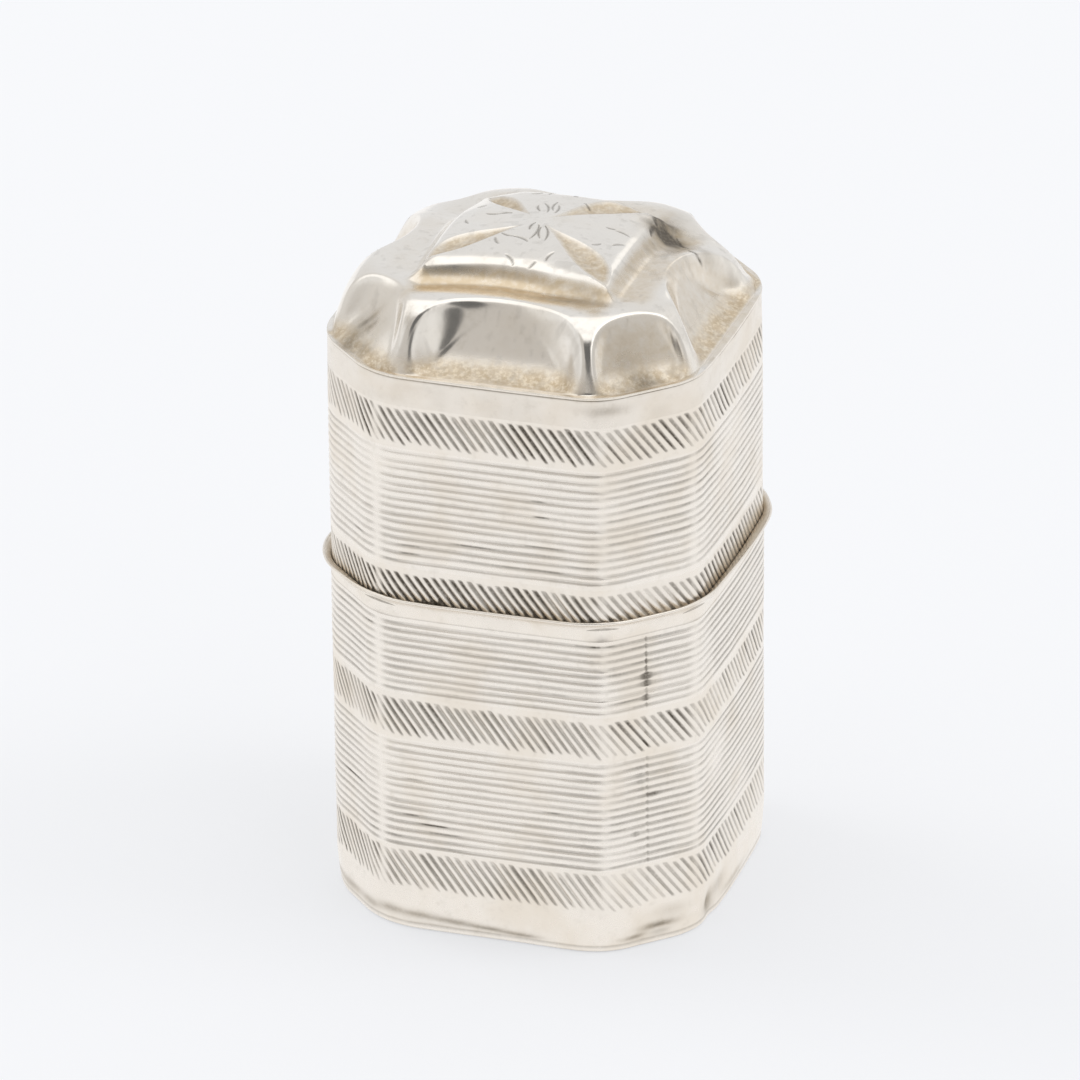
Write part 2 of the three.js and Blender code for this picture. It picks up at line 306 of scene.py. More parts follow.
# Dark spots on the box: place round it, height, half width, half height, strength.
SPOTS = (
    (SEAM, 21.25, 0.50, 0.12, 0.9),
    (SEAM, 20.70, 0.45, 0.12, 0.8),
    (SEAM - 0.001, 19.6, 0.35, 0.15, 0.7),
    (SEAM - 0.002, 15.8, 0.30, 0.40, 0.7),
    (SEAM - 0.006, 13.4, 0.35, 1.30, 0.3),
    (SEAM + 0.005, 11.8, 0.50, 0.20, 0.5),
    (SEAM - 0.010, 9.1, 0.30, 0.40, 0.5),
    (0.586, 14.9, 0.35, 0.25, 0.4),
    (0.770, 15.4, 0.30, 0.40, 0.4),
)


def seam_stain(u, z):
    """How dark the seam and the spots on the box are."""
    middle, tall, darker = SEAM_DARKEST
    tone = SEAM_TONE + darker * np.exp(-(((z - middle) / tall) ** 2))
    return np.clip(with_spots(on_seam(u, z, SEAM_STAIN_WIDTH) * tone, SPOTS, u, z), 0, 1)


def dents(u, z):
    """How far the worn sheet is pressed in."""
    pressed = 0
    for deep, seed, across, tall in WAVES:
        pressed = pressed + deep * mottle(seed, u, z, across, tall)
    pressed = pressed + SEAM_DEPTH * on_seam(u, z, SEAM_WIDTH) - EDGE_STANDS_OUT * on_edge(u, STANDING_WIDTH)
    return with_spots(pressed, DENTS, u, z)


def clear_barrel(places):
    """Moves places out of the trough that the hinge barrel lies in."""
    rise = places[..., 2] - HINGE_Z
    reach = np.sqrt(np.maximum(TROUGH_RADIUS**2 - rise**2, 0))
    beside = (np.abs(places[..., 0]) < BARREL_HALF + BARREL_GAP) & (np.abs(rise) < TROUGH_RADIUS)
    inside = beside & (places[..., 1] > HINGE_Y - reach)
    places[..., 1] = np.where(inside, HINGE_Y - reach, places[..., 1])
    return places


# Making the pieces.
def new_piece(name, bm, body, finish, nodes, sharp):
    """A piece that rides on a body and is seen in place of the nodes. Edges over sharp degrees are hard."""
    mesh = bpy.data.meshes.new(name)
    bm.to_mesh(mesh)
    bm.free()
    mesh.shade_smooth()
    mesh.set_sharp_from_angle(angle=math.radians(sharp))
    mesh.materials.append(finish)
    piece = bpy.data.objects.new(name, mesh)
    bpy.context.scene.collection.objects.link(piece)
    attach(piece, body)
    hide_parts(*nodes)
    return piece


def sheet_form(places, marks):
    """A grid whose rows and columns lie on the given places. Rows and columns that meet are welded."""
    rows, columns = places.shape[:2]
    bm = bmesh.new()
    bmesh.ops.create_grid(bm, x_segments=columns - 1, y_segments=rows - 1, size=1)
    mesh = bpy.data.meshes.new("sheet_form")
    bm.to_mesh(mesh)
    bm.free()
    flat = np.empty(len(mesh.vertices) * 3, np.float32)
    mesh.vertices.foreach_get("co", flat)
    flat = flat.reshape(-1, 3)
    column = np.rint((flat[:, 0] + 1) / 2 * (columns - 1)).astype(int)
    row = np.rint((flat[:, 1] + 1) / 2 * (rows - 1)).astype(int)
    mesh.vertices.foreach_set("co", (places[row, column] * MM).astype(np.float32).ravel())
    for mark, values in marks.items():
        layer = mesh.attributes.new(mark, "FLOAT", "POINT")
        layer.data.foreach_set("value", values[row, column].astype(np.float32))
    formed = bmesh.new()
    formed.from_mesh(mesh)
    bpy.data.meshes.remove(mesh)
    bmesh.ops.remove_doubles(formed, verts=formed.verts[:], dist=WELD)
    return formed


# Finishes.
class Number:
    """A number in a finish. Python's operators on it add Math nodes."""

    def __init__(self, finish, socket):
        self.finish = finish
        self.socket = socket

    def maths(self, operation, a, b):
        return self.finish.node("ShaderNodeMath", {"operation": operation}, {0: a, 1: b})

    def __add__(self, other):
        return self.maths("ADD", self, other)

    def __radd__(self, other):
        return self.maths("ADD", other, self)

    def __sub__(self, other):
        return self.maths("SUBTRACT", self, other)

    def __rsub__(self, other):
        return self.maths("SUBTRACT", other, self)

    def __mul__(self, other):
        return self.maths("MULTIPLY", self, other)

    def __rmul__(self, other):
        return self.maths("MULTIPLY", other, self)

    def most(self, other):
        return self.maths("MAXIMUM", self, other)

    def least(self, other):
        return self.maths("MINIMUM", self, other)


class Finish:
    """The nodes of one finish, in a material or in the world."""

    def __init__(self, tree):
        self.tree = tree
        tree.nodes.clear()

    def node(self, kind, settings=None, values=None, out=0):
        """Any node: its type, its settings, the values or links of its inputs, and which output is used."""
        made = self.tree.nodes.new(kind)
        for name, setting in (settings or {}).items():
            setattr(made, name, setting)
        for name, value in (values or {}).items():
            if isinstance(value, Number):
                self.tree.links.new(value.socket, made.inputs[name])
            else:
                made.inputs[name].default_value = value
        return Number(self, made.outputs[out]) if made.outputs else made

    def blend(self, share, a, b):
        """One colour over another."""
        settings = {"data_type": "RGBA", "clamp_factor": True}
        return self.node("ShaderNodeMix", settings, {0: share, 6: a, 7: b}, 2)

    def step(self, value, low, high):
        """0 below low, 1 above high, soft between."""
        settings = {"interpolation_type": "SMOOTHSTEP"}
        return self.node("ShaderNodeMapRange", settings, {"Value": value, "From Min": low, "From Max": high})

    def noise(self, place, scale, detail=3.0, rough=0.5):
        values = {"Vector": place, "Scale": scale, "Detail": detail, "Roughness": rough}
        return self.node("ShaderNodeTexNoise", None, values)

    def stretched(self, place, scale, turn=(0, 0, 0)):
        return self.node("ShaderNodeMapping", None, {"Vector": place, "Scale": scale, "Rotation": turn})

    def mark(self, name):
        """A number that the piece is marked with, point by point."""
        return self.node("ShaderNodeAttribute", {"attribute_name": name}, None, "Fac")


def material(name):
    made = bpy.data.materials.new(name)
    made.use_nodes = True
    return made, Finish(made.node_tree)


SILVER = (0.855, 0.805, 0.735, 1)
RUBBED_SILVER = (0.878, 0.833, 0.769, 1)
BRIGHT_SILVER = (0.86, 0.825, 0.77, 1)
WARM_SILVER = (0.64, 0.525, 0.37, 1)
# The colour of painted glints.
GLINT_GOLD = (0.96, 0.88, 0.74, 1)
DULL_SILVER = (0.60, 0.55, 0.48, 1)
# Tarnish, and the colour of painted shade.
TARNISH_AND_SHADE = (0.10, 0.085, 0.065, 1)
HINGE_SILVER = (0.74, 0.68, 0.59, 1)
# How fine the patterns in the silver are, per metre. The rubbed and drawn marks are long one way.
CLOUDS = 210
GRAIN = 1500
FROST = 2600
FLECKS = 2900
SPECKS = 5200
RUBBED_MARKS = (500, 500, 9000)
DRAWN_MARKS = (4200, 4200, 350)
DRAWN_TURN = (0.3, 0.2, 0.5)


def silver(name, colour, roughness, gold, scratch, cut_edge, matt=0.0):
    """Old silver: warm patches, dull clouds, tarnish in the marked cuts, frosted floors, fine scratches.
    Painted too: shade where the pieces mark it dark, warm interreflection in the recesses, glints on the
    frosted floors.
    """
    made, f = material(name)
    place = f.node("ShaderNodeTexCoord", None, None, "Object")
    cut = f.mark("cut")
    recess = f.mark("recess")
    frosted = f.mark("frosted")
    cloud = f.noise(place, CLOUDS, 4)
    fine = f.noise(place, GRAIN, 5, 0.6)
    speck = f.noise(place, SPECKS, 2)
    rubbed = f.noise(f.stretched(place, RUBBED_MARKS), 1, 3, 0.6)
    drawn = f.noise(f.stretched(place, DRAWN_MARKS, DRAWN_TURN), 1, 2)
    in_cut = 1 - f.step(cut, *cut_edge)
    core = 1 - f.step(cut, 0.15, 0.45)
    dark = f.mark("dark") * in_cut + f.mark("black") * core
    dark = dark.least(1) * (f.step(speck, 0.15, 0.6) * 0.3 + 0.7)
    # The recess mark warms the colour: partly tarnish, partly painted warm interreflection in the hollows.
    warm = f.step(cloud, 0.42, 0.72) * gold + recess * (f.step(fine, 0.25, 0.7) * 0.5 + 0.5)
    dull = f.step(fine, 0.52, 0.8) * 0.3 + f.step(cloud, 0.55, 0.3) * 0.12
    # Pale gold flecks on the frosted floors are painted glints.
    glint_flecks = f.step(f.noise(place, FLECKS, 4, 0.75), 0.47, 0.60) * frosted
    tint = f.blend(warm, colour, WARM_SILVER)
    tint = f.blend(dull, tint, DULL_SILVER)
    tint = f.blend(glint_flecks * 0.5, tint, GLINT_GOLD)
    # The dark mark blends to this colour: tarnish, and painted shade where the pieces mark it.
    tint = f.blend(dark, tint, TARNISH_AND_SHADE)
    lines = f.step(rubbed, 0.56, 0.72) * scratch + f.step(drawn, 0.62, 0.74) * (scratch * 0.6)
    rough = (cloud - 0.5) * 0.12 + (fine - 0.5) * 0.16 + roughness + lines * 0.08 + dark * 0.25
    rough = rough + recess * matt + frosted * 0.25
    relief = fine * 0.35 + speck * 0.12 - lines * 0.5 + f.noise(place, FROST, 3, 0.6) * frosted * 2.2
    bump = f.node("ShaderNodeBump", None, {"Strength": 0.25, "Distance": 0.00003, "Height": relief})
    values = {
        "Base Color": tint,
        "Metallic": 1 - dark * 0.4,
        "Roughness": rough.most(0.05),
        "Normal": bump,
    }
    shader = f.node("ShaderNodeBsdfPrincipled", None, values)
    f.node("ShaderNodeOutputMaterial", None, {"Surface": shader})
    return made


reeded_silver = silver("reeded_silver", RUBBED_SILVER, 0.28, 0.25, 0.5, (0.2, 0.9))
hatched_silver = silver("hatched_silver", SILVER, 0.30, 0.25, 0.5, (0.40, 1.0))
plain_silver = silver("plain_silver", SILVER, 0.28, 0.25, 0.6, (0.1, 1.0), 0.3)
embossed_silver = silver("embossed_silver", BRIGHT_SILVER, 0.16, 0.15, 0.05, (0.1, 1.0), 0.12)
hinge_silver = silver("hinge_silver", HINGE_SILVER, 0.34, 0.4, 0.8, (0.1, 1.0))


# Walls. Each band of the walls is its own ring of sheet, outside and inside.
GROOVE = ((-0.21, 0.0), (-0.14, 0.25), (-0.07, 0.7), (0.0, 1.0), (0.07, 0.7), (0.14, 0.25), (0.21, 0.0))
GROOVE_HALF = 0.21
GROOVE_DEPTH = 0.075
RIDGE_CROWN = 0.02
MARKS = ("cut", "dark", "black", "recess", "frosted")
SEAM_COLUMNS = np.linspace(-0.4, 0.4, 9)


def wall_columns():
    """Columns round the box, closer together at the seam."""
    extra = SEAM + SEAM_COLUMNS / PERIMETER
    return np.sort(np.concatenate((np.linspace(0, 1, COLUMNS + 1), extra)))


class Rows:
    """The rows of a ring of sheet, up its outside and down its inside, with the marks on them."""

    def __init__(self):
        self.places = []
        self.marks = {name: [] for name in MARKS}

    def add(self, places, **marks):
        self.places.append(places)
        for name, values in self.marks.items():
            values.append(np.broadcast_to(marks.get(name, 0.0), len(places)))

    def close(self):
        """Ends with the first row again."""
        self.places.append(self.places[0])
        for values in self.marks.values():
            values.append(values[0])

    def form(self):
        return sheet_form(np.stack(self.places), {name: np.stack(v) for name, v in self.marks.items()})


# Places round the box where the tones of the lines and of the hatching are given.
TONE_PLACES = (0.0, 0.30, 0.37, 0.41, 0.45, 0.50, 0.56, 0.60, 0.63, 0.66, 0.69, 0.76, 1.0)
LINE_TONES = (0.40, 0.40, 0.42, 0.25, 0.19, 0.19, 0.22, 0.38, 0.46, 0.48, 0.56, 0.56, 0.40)
# The lid's lines are paler than the box's.
LID_LINE_SHARE = 0.75
# On the front the lines are darker towards the foot of each band: heights and how much darker.
LINE_FRONT = (0.38, 0.42, 0.55, 0.60)
LINE_HEIGHTS = (7.0, 9.0, 14.5, 19.0, 24.0, 29.0, 31.5, 37.0)
LINE_WEIGHTS = (1.9, 1.5, 0.7, 1.2, 1.2, 1.9, 1.4, 0.9)
# Patches where the lines are rubbed bright: place round the box, height, half width, half height, strength.
RUBBED = (
    (0.700, 12.3, 2.2, 1.8, 0.75),
    (0.590, 13.4, 1.2, 1.7, 0.85),
    (0.598, 8.0, 1.6, 1.2, 0.70),
    (0.655, 9.0, 1.2, 2.0, 0.50),
    (0.655, 13.5, 0.9, 1.2, 0.50),
    (0.725, 34.5, 2.0, 2.2, 0.60),
    (0.590, 35.5, 1.5, 1.2, 0.40),
    (0.440, 14.5, 3.0, 0.8, 0.50),
    (0.415, 21.5, 0.8, 2.0, 0.40),
    (0.360, 33.5, 2.0, 2.5, 0.40),
    (0.150, 11.0, 3.0, 2.0, 0.60),
    (0.050, 33.0, 3.0, 2.5, 0.60),
    (0.880, 22.0, 3.0, 1.5, 0.50),
)


def line_weight(u, z):
    """How dark the lines are at a place, against the tone given for the way round."""
    front = by_place(u, LINE_FRONT, (0, 1, 1, 0))
    weight = 1 + front * (np.interp(z, LINE_HEIGHTS, LINE_WEIGHTS) - 1)
    for *where, strong in RUBBED:
        weight = weight * (1 - strong * spot(u, z, *where))
    return weight


# The darkest streaks in the lines: place round the box, height, half length, strength.
STREAKS = (
    (0.373, 10.1, 1.4, 0.8),
    (0.438, 9.3, 0.5, 0.6),
    (0.455, 8.7, 1.0, 0.9),
    (0.465, 8.1, 1.2, 0.5),
    (0.440, 12.1, 0.7, 0.5),
    (0.547, 11.0, 0.6, 0.4),
    (0.588, 13.9, 0.8, 0.4),
    (0.626, 11.8, 0.5, 0.3),
    (0.586, 24.1, 0.8, 0.7),
    (0.402, 23.3, 0.5, 0.5),
    (0.607, 19.7, 0.9, 0.5),
    (0.542, 33.7, 0.5, 0.9),
    (0.540, 34.8, 0.5, 0.6),
    (0.488, 31.0, 1.6, 0.5),
    (0.544, 31.4, 1.5, 0.6),
    (0.440, 30.4, 0.9, 0.5),
    (0.440, 29.8, 0.7, 0.6),
    (0.535, 29.4, 2.3, 0.4),
    (0.573, 30.3, 1.4, 0.4),
    (0.389, 29.9, 0.6, 0.5),
)
# The lines stray as they go round, in long waves and in short ones.
LINE_STRAYS = 0.035
LINE_SHAKES = 0.012
SMUDGE = 0.25


def lined_band(name, body, low, high, first, pitch, count, seed):
    """A band of wall with fine grooves round it, from the first one's height up."""
    u = wall_columns()
    rounder = wall_rounder(body, low)
    rows = Rows()

    def end_row(z, inset=0.0):
        rows.add(ring(u, z, dents(u, z) + inset, rounder), cut=1)

    end_row(low)
    for line in range(count):
        level = first + line * pitch
        along = level + LINE_STRAYS * wander(seed + line, 11, u)
        along = along + LINE_SHAKES * wander(seed + line + 90, 41, u)
        worn = 1 - edge_wear(u)
        deep = GROOVE_DEPTH * worn * (0.85 + 0.25 * wander(seed + line + 180, 19, u))
        tone = by_place(u, TONE_PLACES, LINE_TONES) * line_weight(u, along)
        if body == "lid":
            tone = tone * LID_LINE_SHARE
        rubbed = 1 - 0.5 * smooth((mottle(63, u, along, 12, 6.0) - 0.1) / 0.6)
        dark = (tone + 0.06 * wander(seed + line + 270, 31, u)) * rubbed
        smudged = wander(seed + line + 360, 47, u) + 0.5 * mottle(62, u, along, 14, 5.0)
        black = SMUDGE * smooth((smudged - 0.45) / 0.5)
        for place, middle, half, strong in STREAKS:
            if abs(level - middle) < pitch / 2:
                black = black + strong * np.exp(-((away(u, place) / half) ** 4))
        stain = seam_stain(u, along)
        for off, share in GROOVE:
            z = along + off
            rows.add(
                ring(u, z, dents(u, z) + deep * share, rounder),
                cut=abs(off) / GROOVE_HALF * (1 - stain),
                dark=np.clip(dark * worn + 0.6 * stain, 0.02, 1),
                black=black * worn * 0.7,
            )
        if line < count - 1:
            ridge = along + pitch / 2
            crowned = ring(u, ridge, dents(u, ridge) - RIDGE_CROWN, rounder)
            rows.add(crowned, cut=1.2 - stain, dark=0.5 * stain)
    end_row(high)
    end_row(high, SHEET)
    end_row(low, SHEET)
    rows.close()
    new_piece(name, rows.form(), body, reeded_silver, [f"{body}_wall"], 75)


# The slanting strokes. The columns are shares of a stroke's pitch.
STROKE_COLUMNS = (-0.5, -0.34, -0.22, -0.11, 0.0, 0.11, 0.22, 0.34)
STROKE_SLOPE = 1.35
STROKE_DEPTH = 0.12
STROKE_LEAN = 0.08
STROKE_TAPER = 0.35
STROKE_ROWS = 15
# Grime and painted shade at the lid's foot, over the lip: how high it darkens the strokes and fills them, and
# how much there is by place.
GRIME_AND_SHADE_TOP = 26.3
GRIME_FILL_TOP = 26.2
FOOT_GRIME_AND_SHADE_PLACES = (0.33, 0.42, 0.56, 0.62, 0.75)
FOOT_GRIME_AND_SHADE = (0.15, 1.0, 0.8, 0.25, 0.1)


def hatched_band(name, body, low, high, bottom, top, strokes, seed, tones):
    """A band of wall with slanting strokes from bottom to top, each broad above and thin at its foot."""
    each = len(STROKE_COLUMNS)
    column = np.arange(strokes * each + 1)
    stroke = column // each % strokes
    across = np.array(STROKE_COLUMNS)[column % each]
    straight = (column // each + across + 0.5) / strokes
    rng = np.random.default_rng(seed)

    def by_stroke(least, most):
        return rng.uniform(least, most, strokes)[stroke]

    top_end = top + by_stroke(-0.10, 0.10)
    bottom_end = bottom + by_stroke(-0.10, 0.25)
    broad = by_stroke(0.34, 0.42)
    weight = by_stroke(0.75, 1.1)
    shade = by_stroke(-0.14, 0.14)
    heights = np.concatenate(((low, high), np.linspace(bottom - 0.1, top + 0.1, STROKE_ROWS)))
    heights = np.unique(np.clip(heights, low, high))
    rows = Rows()
    for z in heights:
        u = straight + (top - z) / STROKE_SLOPE / PERIMETER
        run = (top_end - z) / (top_end - bottom_end)
        half = broad * (1 - STROKE_TAPER * np.clip(run, 0, 1))
        past = np.maximum(-run, run - 1)
        off = across + STROKE_LEAN
        cut = np.maximum(np.abs(off) / (half + np.sign(off) * STROKE_LEAN), 1 + past * 8)
        worn = 1 - 0.75 * edge_wear(u)
        deep = STROKE_DEPTH * weight * worn * np.clip(1 - cut, 0, 1) ** 0.8 * smooth((1 - run) / 0.2)
        tone = shade + by_place(u, TONE_PLACES, tones) + 0.2 * mottle(seed + 7, u, z, 40, 3.0)
        tone = np.clip(tone, 0.08, 1) * worn
        if body == "box":
            tone = tone + 0.5 * seam_stain(u, z)
        if body == "lid":
            # Darker at the lid's foot, over the lip: grime, and painted shade from the gap.
            grime_and_shade = by_place(u, FOOT_GRIME_AND_SHADE_PLACES, FOOT_GRIME_AND_SHADE)
            tone = tone + 0.4 * grime_and_shade * smooth((GRIME_AND_SHADE_TOP + 0.3 * wander(71, 60, u) - z) / 0.5)
            cut = cut * (1 - grime_and_shade * smooth((GRIME_FILL_TOP + 0.25 * wander(72, 80, u) - z) / 0.4))
        places = ring(u, z, dents(u, z) + deep, wall_rounder(body, z))
        rows.add(places, cut=cut, dark=np.clip(tone, 0, 1), black=np.clip(tone - 0.45, 0, 0.5))
    for z in np.linspace(high, low, 7):
        u = straight + (top - z) / STROKE_SLOPE / PERIMETER
        rows.add(ring(u, z, dents(u, z) + SHEET, wall_rounder(body, z)), cut=2)
    rows.close()
    if body == "lid":
        rows.places = [clear_barrel(places) for places in rows.places]
    new_piece(name, rows.form(), body, hatched_silver, [f"{body}_wall"], 75)


def plain_band(name, body, low, high, outer, stains_and_shade_at):
    """A plain band of wall. outer gives (height, extra inset) up its outside; the last argument gives how dark
    and warm it is there, from stains and from painted shade.
    """
    u = wall_columns()
    rows = Rows()
    for z, extra in outer:
        # Stains, and painted shade in places, darken and warm the band.
        stain = stains_and_shade_at(u, z)
        rows.add(ring(u, z, dents(u, z) + extra, wall_rounder(body, z)), dark=stain, recess=0.8 * stain)
    for z in np.linspace(high, low, 5):
        rows.add(ring(u, z, dents(u, z) + SHEET, wall_rounder(body, z)))
    rows.close()
    new_piece(name, rows.form(), body, plain_silver, [f"{body}_wall"], 60)


# Where the bands of the box and of the lid end, from the foot up.
FOOT_TOP = 3.05
LOW_HATCH_TOP = 6.5
LOW_LINES_TOP = 15.05
MID_HATCH_TOP = 18.6
LID_LOW_HATCH_TOP = 28.45
LID_LINES_TOP = 37.6
LID_HATCH_TOP = 40.85
# Brown painted shade in the creases of the foot's dents: place round the box, height, half width, half height,
# strength.
FOOT_CREASE_SHADE = (
    (0.365, 1.00, 1.6, 0.40, 0.32),
    (0.395, 1.05, 1.2, 0.40, 0.32),
    (0.418, 1.30, 1.0, 0.40, 0.36),
    (0.442, 1.20, 1.5, 0.32, 0.42),
    (0.470, 1.05, 1.5, 0.26, 0.46),
    (0.497, 0.90, 1.5, 0.22, 0.50),
    (0.522, 0.75, 1.4, 0.18, 0.46),
    (0.630, 1.40, 1.4, 0.32, 0.60),
    (0.610, 0.85, 0.9, 0.20, 0.50),
    (0.640, 2.40, 1.3, 0.5, 0.14),
    (0.684, 1.3, 0.8, 0.8, 0.55),
    (0.705, 1.9, 1.2, 0.6, 0.25),
    (0.74, 0.9, 2.6, 0.3, 0.25),
    (0.33, 1.1, 2.2, 0.4, 0.28),
    (0.22, 1.0, 3.0, 0.3, 0.28),
    (0.04, 1.1, 3.5, 0.3, 0.30),
    (0.90, 1.0, 3.0, 0.3, 0.28),
)
# Painted shade of a dent in the lid's plain band, given in the same way.
BROW_DENT_SHADE = ((0.592, 42.1, 1.4, 0.35, 0.3),)


def foot_marks_and_shade(u, z):
    """Darker marks on the foot: worn patches, a dark line over the base, and brown painted shade in the
    creases.
    """
    worn = smooth((mottle(21, u, z, 40, 1.2) - 0.35) / 0.5) * smooth((1.5 - z) / 1.0)
    return with_spots(0.12 * worn + 0.2 * smooth((0.62 - z) / 0.1), FOOT_CREASE_SHADE, u, z)


def brow_shade_and_clouds(u, z):
    """Darker tones on the lid's plain band: a line of painted shade under the star top's rolled edge, the
    painted shade of a dent, faint clouds.
    """
    line = 0.75 * smooth((z - (LID_BAND_TOP - 0.10)) / 0.08) * (0.7 + 0.3 * wander(31, 40, u))
    return with_spots(line, BROW_DENT_SHADE, u, z) + 0.05 + 0.05 * smooth(mottle(32, u, z, 60, 0.9))


# How dark the strokes of each hatched band are, at TONE_PLACES.
LOW_TONES = (0.40, 0.40, 0.42, 0.60, 0.46, 0.40, 0.36, 0.36, 0.42, 0.42, 0.48, 0.46, 0.40)
MID_TONES = (0.40, 0.40, 0.42, 0.48, 0.46, 0.42, 0.38, 0.36, 0.44, 0.42, 0.50, 0.48, 0.40)
LID_LOW_TONES = (0.50, 0.42, 0.52, 0.85, 0.90, 0.75, 0.70, 0.40, 0.42, 0.58, 0.72, 0.55, 0.50)
LID_HIGH_TONES = (0.50, 0.44, 0.48, 0.58, 0.60, 0.62, 0.64, 0.58, 0.62, 0.62, 0.62, 0.52, 0.50)
foot_rows = [(z, 0.05 * smooth((0.9 - z) / 0.4)) for z in np.linspace(BASE_TOP, FOOT_TOP, 26)]
plain_band("box_foot_band", "box", BASE_TOP, FOOT_TOP, foot_rows, foot_marks_and_shade)
hatched_band("box_low_hatch", "box", FOOT_TOP, LOW_HATCH_TOP, 3.24, 6.3, 141, 41, LOW_TONES)
lined_band("box_low_lines", "box", LOW_HATCH_TOP, LOW_LINES_TOP, 6.77, 0.572, 15, 1000)
hatched_band("box_mid_hatch", "box", LOW_LINES_TOP, MID_HATCH_TOP, 15.3, 18.23, 145, 42, MID_TONES)
lined_band("box_high_lines", "box", MID_HATCH_TOP, RIM_FOOT, 18.98, 0.568, 10, 2000)
hatched_band("lid_low_hatch", "lid", LID_FOOT, LID_LOW_HATCH_TOP, 25.5, 28.05, 141, 43, LID_LOW_TONES)
lined_band("lid_lines", "lid", LID_LOW_HATCH_TOP, LID_LINES_TOP, 28.97, 0.594, 15, 3000)
hatched_band("lid_high_hatch", "lid", LID_LINES_TOP, LID_HATCH_TOP, 37.86, 40.69, 138, 44, LID_HIGH_TONES)
brow_rows = [(z, 0.0) for z in np.linspace(LID_HATCH_TOP, LID_BAND_TOP - 0.1, 12)]
brow_rows += [(LID_BAND_TOP - 0.05, 0.02), (LID_BAND_TOP, 0.07)]
plain_band("lid_plain_band", "lid", LID_HATCH_TOP, LID_BAND_TOP, brow_rows, brow_shade_and_clouds)


# The base's rolled edge, from below: inset and height.
BASE_EDGE = ((0.7, 0.0), (0.32, 0.0), (0.16, 0.05), (0.07, 0.14), (0.04, 0.28), (0.05, BASE_TOP))
BASE_DISH = 0.12


def base_plate():
    """The flat base, its edge rolled in under the wall, with painted shade at its foot on the floor and under
    the wall.
    """
    u = wall_columns()
    rim = ring(u, 0.0, 1.4, foot_rounder(0))
    rows = Rows()
    for share in (0.0, 0.4, 0.8, 1.0):
        rows.add(rim * (share, share, 1) + (0, 0, BASE_DISH * smooth((1 - share) / 0.2)), dark=0.12)
    for inset, z in BASE_EDGE:
        # Painted shade: dark at the rolled edge's foot, where it meets the floor, and darker again at its top,
        # under the wall.
        places = ring(u, z, dents(u, BASE_TOP) + inset, foot_rounder(z))
        rows.add(places, dark=0.35 * smooth((z - 0.3) / 0.2) + 0.6 * smooth((0.16 - z) / 0.14))
    rim = ring(u, BASE_TOP, SHEET + 0.4, foot_rounder(BASE_TOP))
    # Painted shade under the wall and on the faces inside.
    rows.add(ring(u, BASE_TOP, dents(u, BASE_TOP) + SHEET, foot_rounder(BASE_TOP)), dark=0.5)
    for share in (1.0, 0.7, 0.3, 0.0):
        rows.add(rim * (share, share, 1), dark=0.3)
    new_piece("base", rows.form(), "box", plain_silver, ["base_plate"], 60)


LIP_FLARE = 0.6
LIP_ROUNDING = 3.4
LIP_OPENING = 9.1
LIP_EDGE = 0.11
# Where the lip is bent out: place round the box, half width, how far.
LIP_BENDS = ((0.345, 4.0, 0.3), (0.80, 7.0, 0.3))
# Grime and painted shade in the gap inside the lip, round the box: most at the front left.
LIP_GRIME_AND_SHADE = (0.1, 0.9, 0.8, 0.05, 0.0)
LIP_GRIME_AND_SHADE_PLACES = (0.34, 0.38, 0.55, 0.62, 0.75)
# The slope inside the lip: inset from its outside, height from its top, inset where it is filed away, how
# dark it is painted as shade in the gap, how much darker with grime and painted shade, how tan, how far it
# follows the lid's plan, not the lip's.
LIP_INSIDE = (
    (0.25, 0.03, -0.12, 0.02, 0.0, 0.3, 0.2),
    (0.36, -0.05, -0.11, 0.03, 0.05, 0.5, 0.6),
    (0.48, -0.14, -0.10, 0.05, 0.30, 0.6, 1.0),
    (0.55, -0.20, -0.10, 0.10, 0.70, 0.7, 1.0),
)


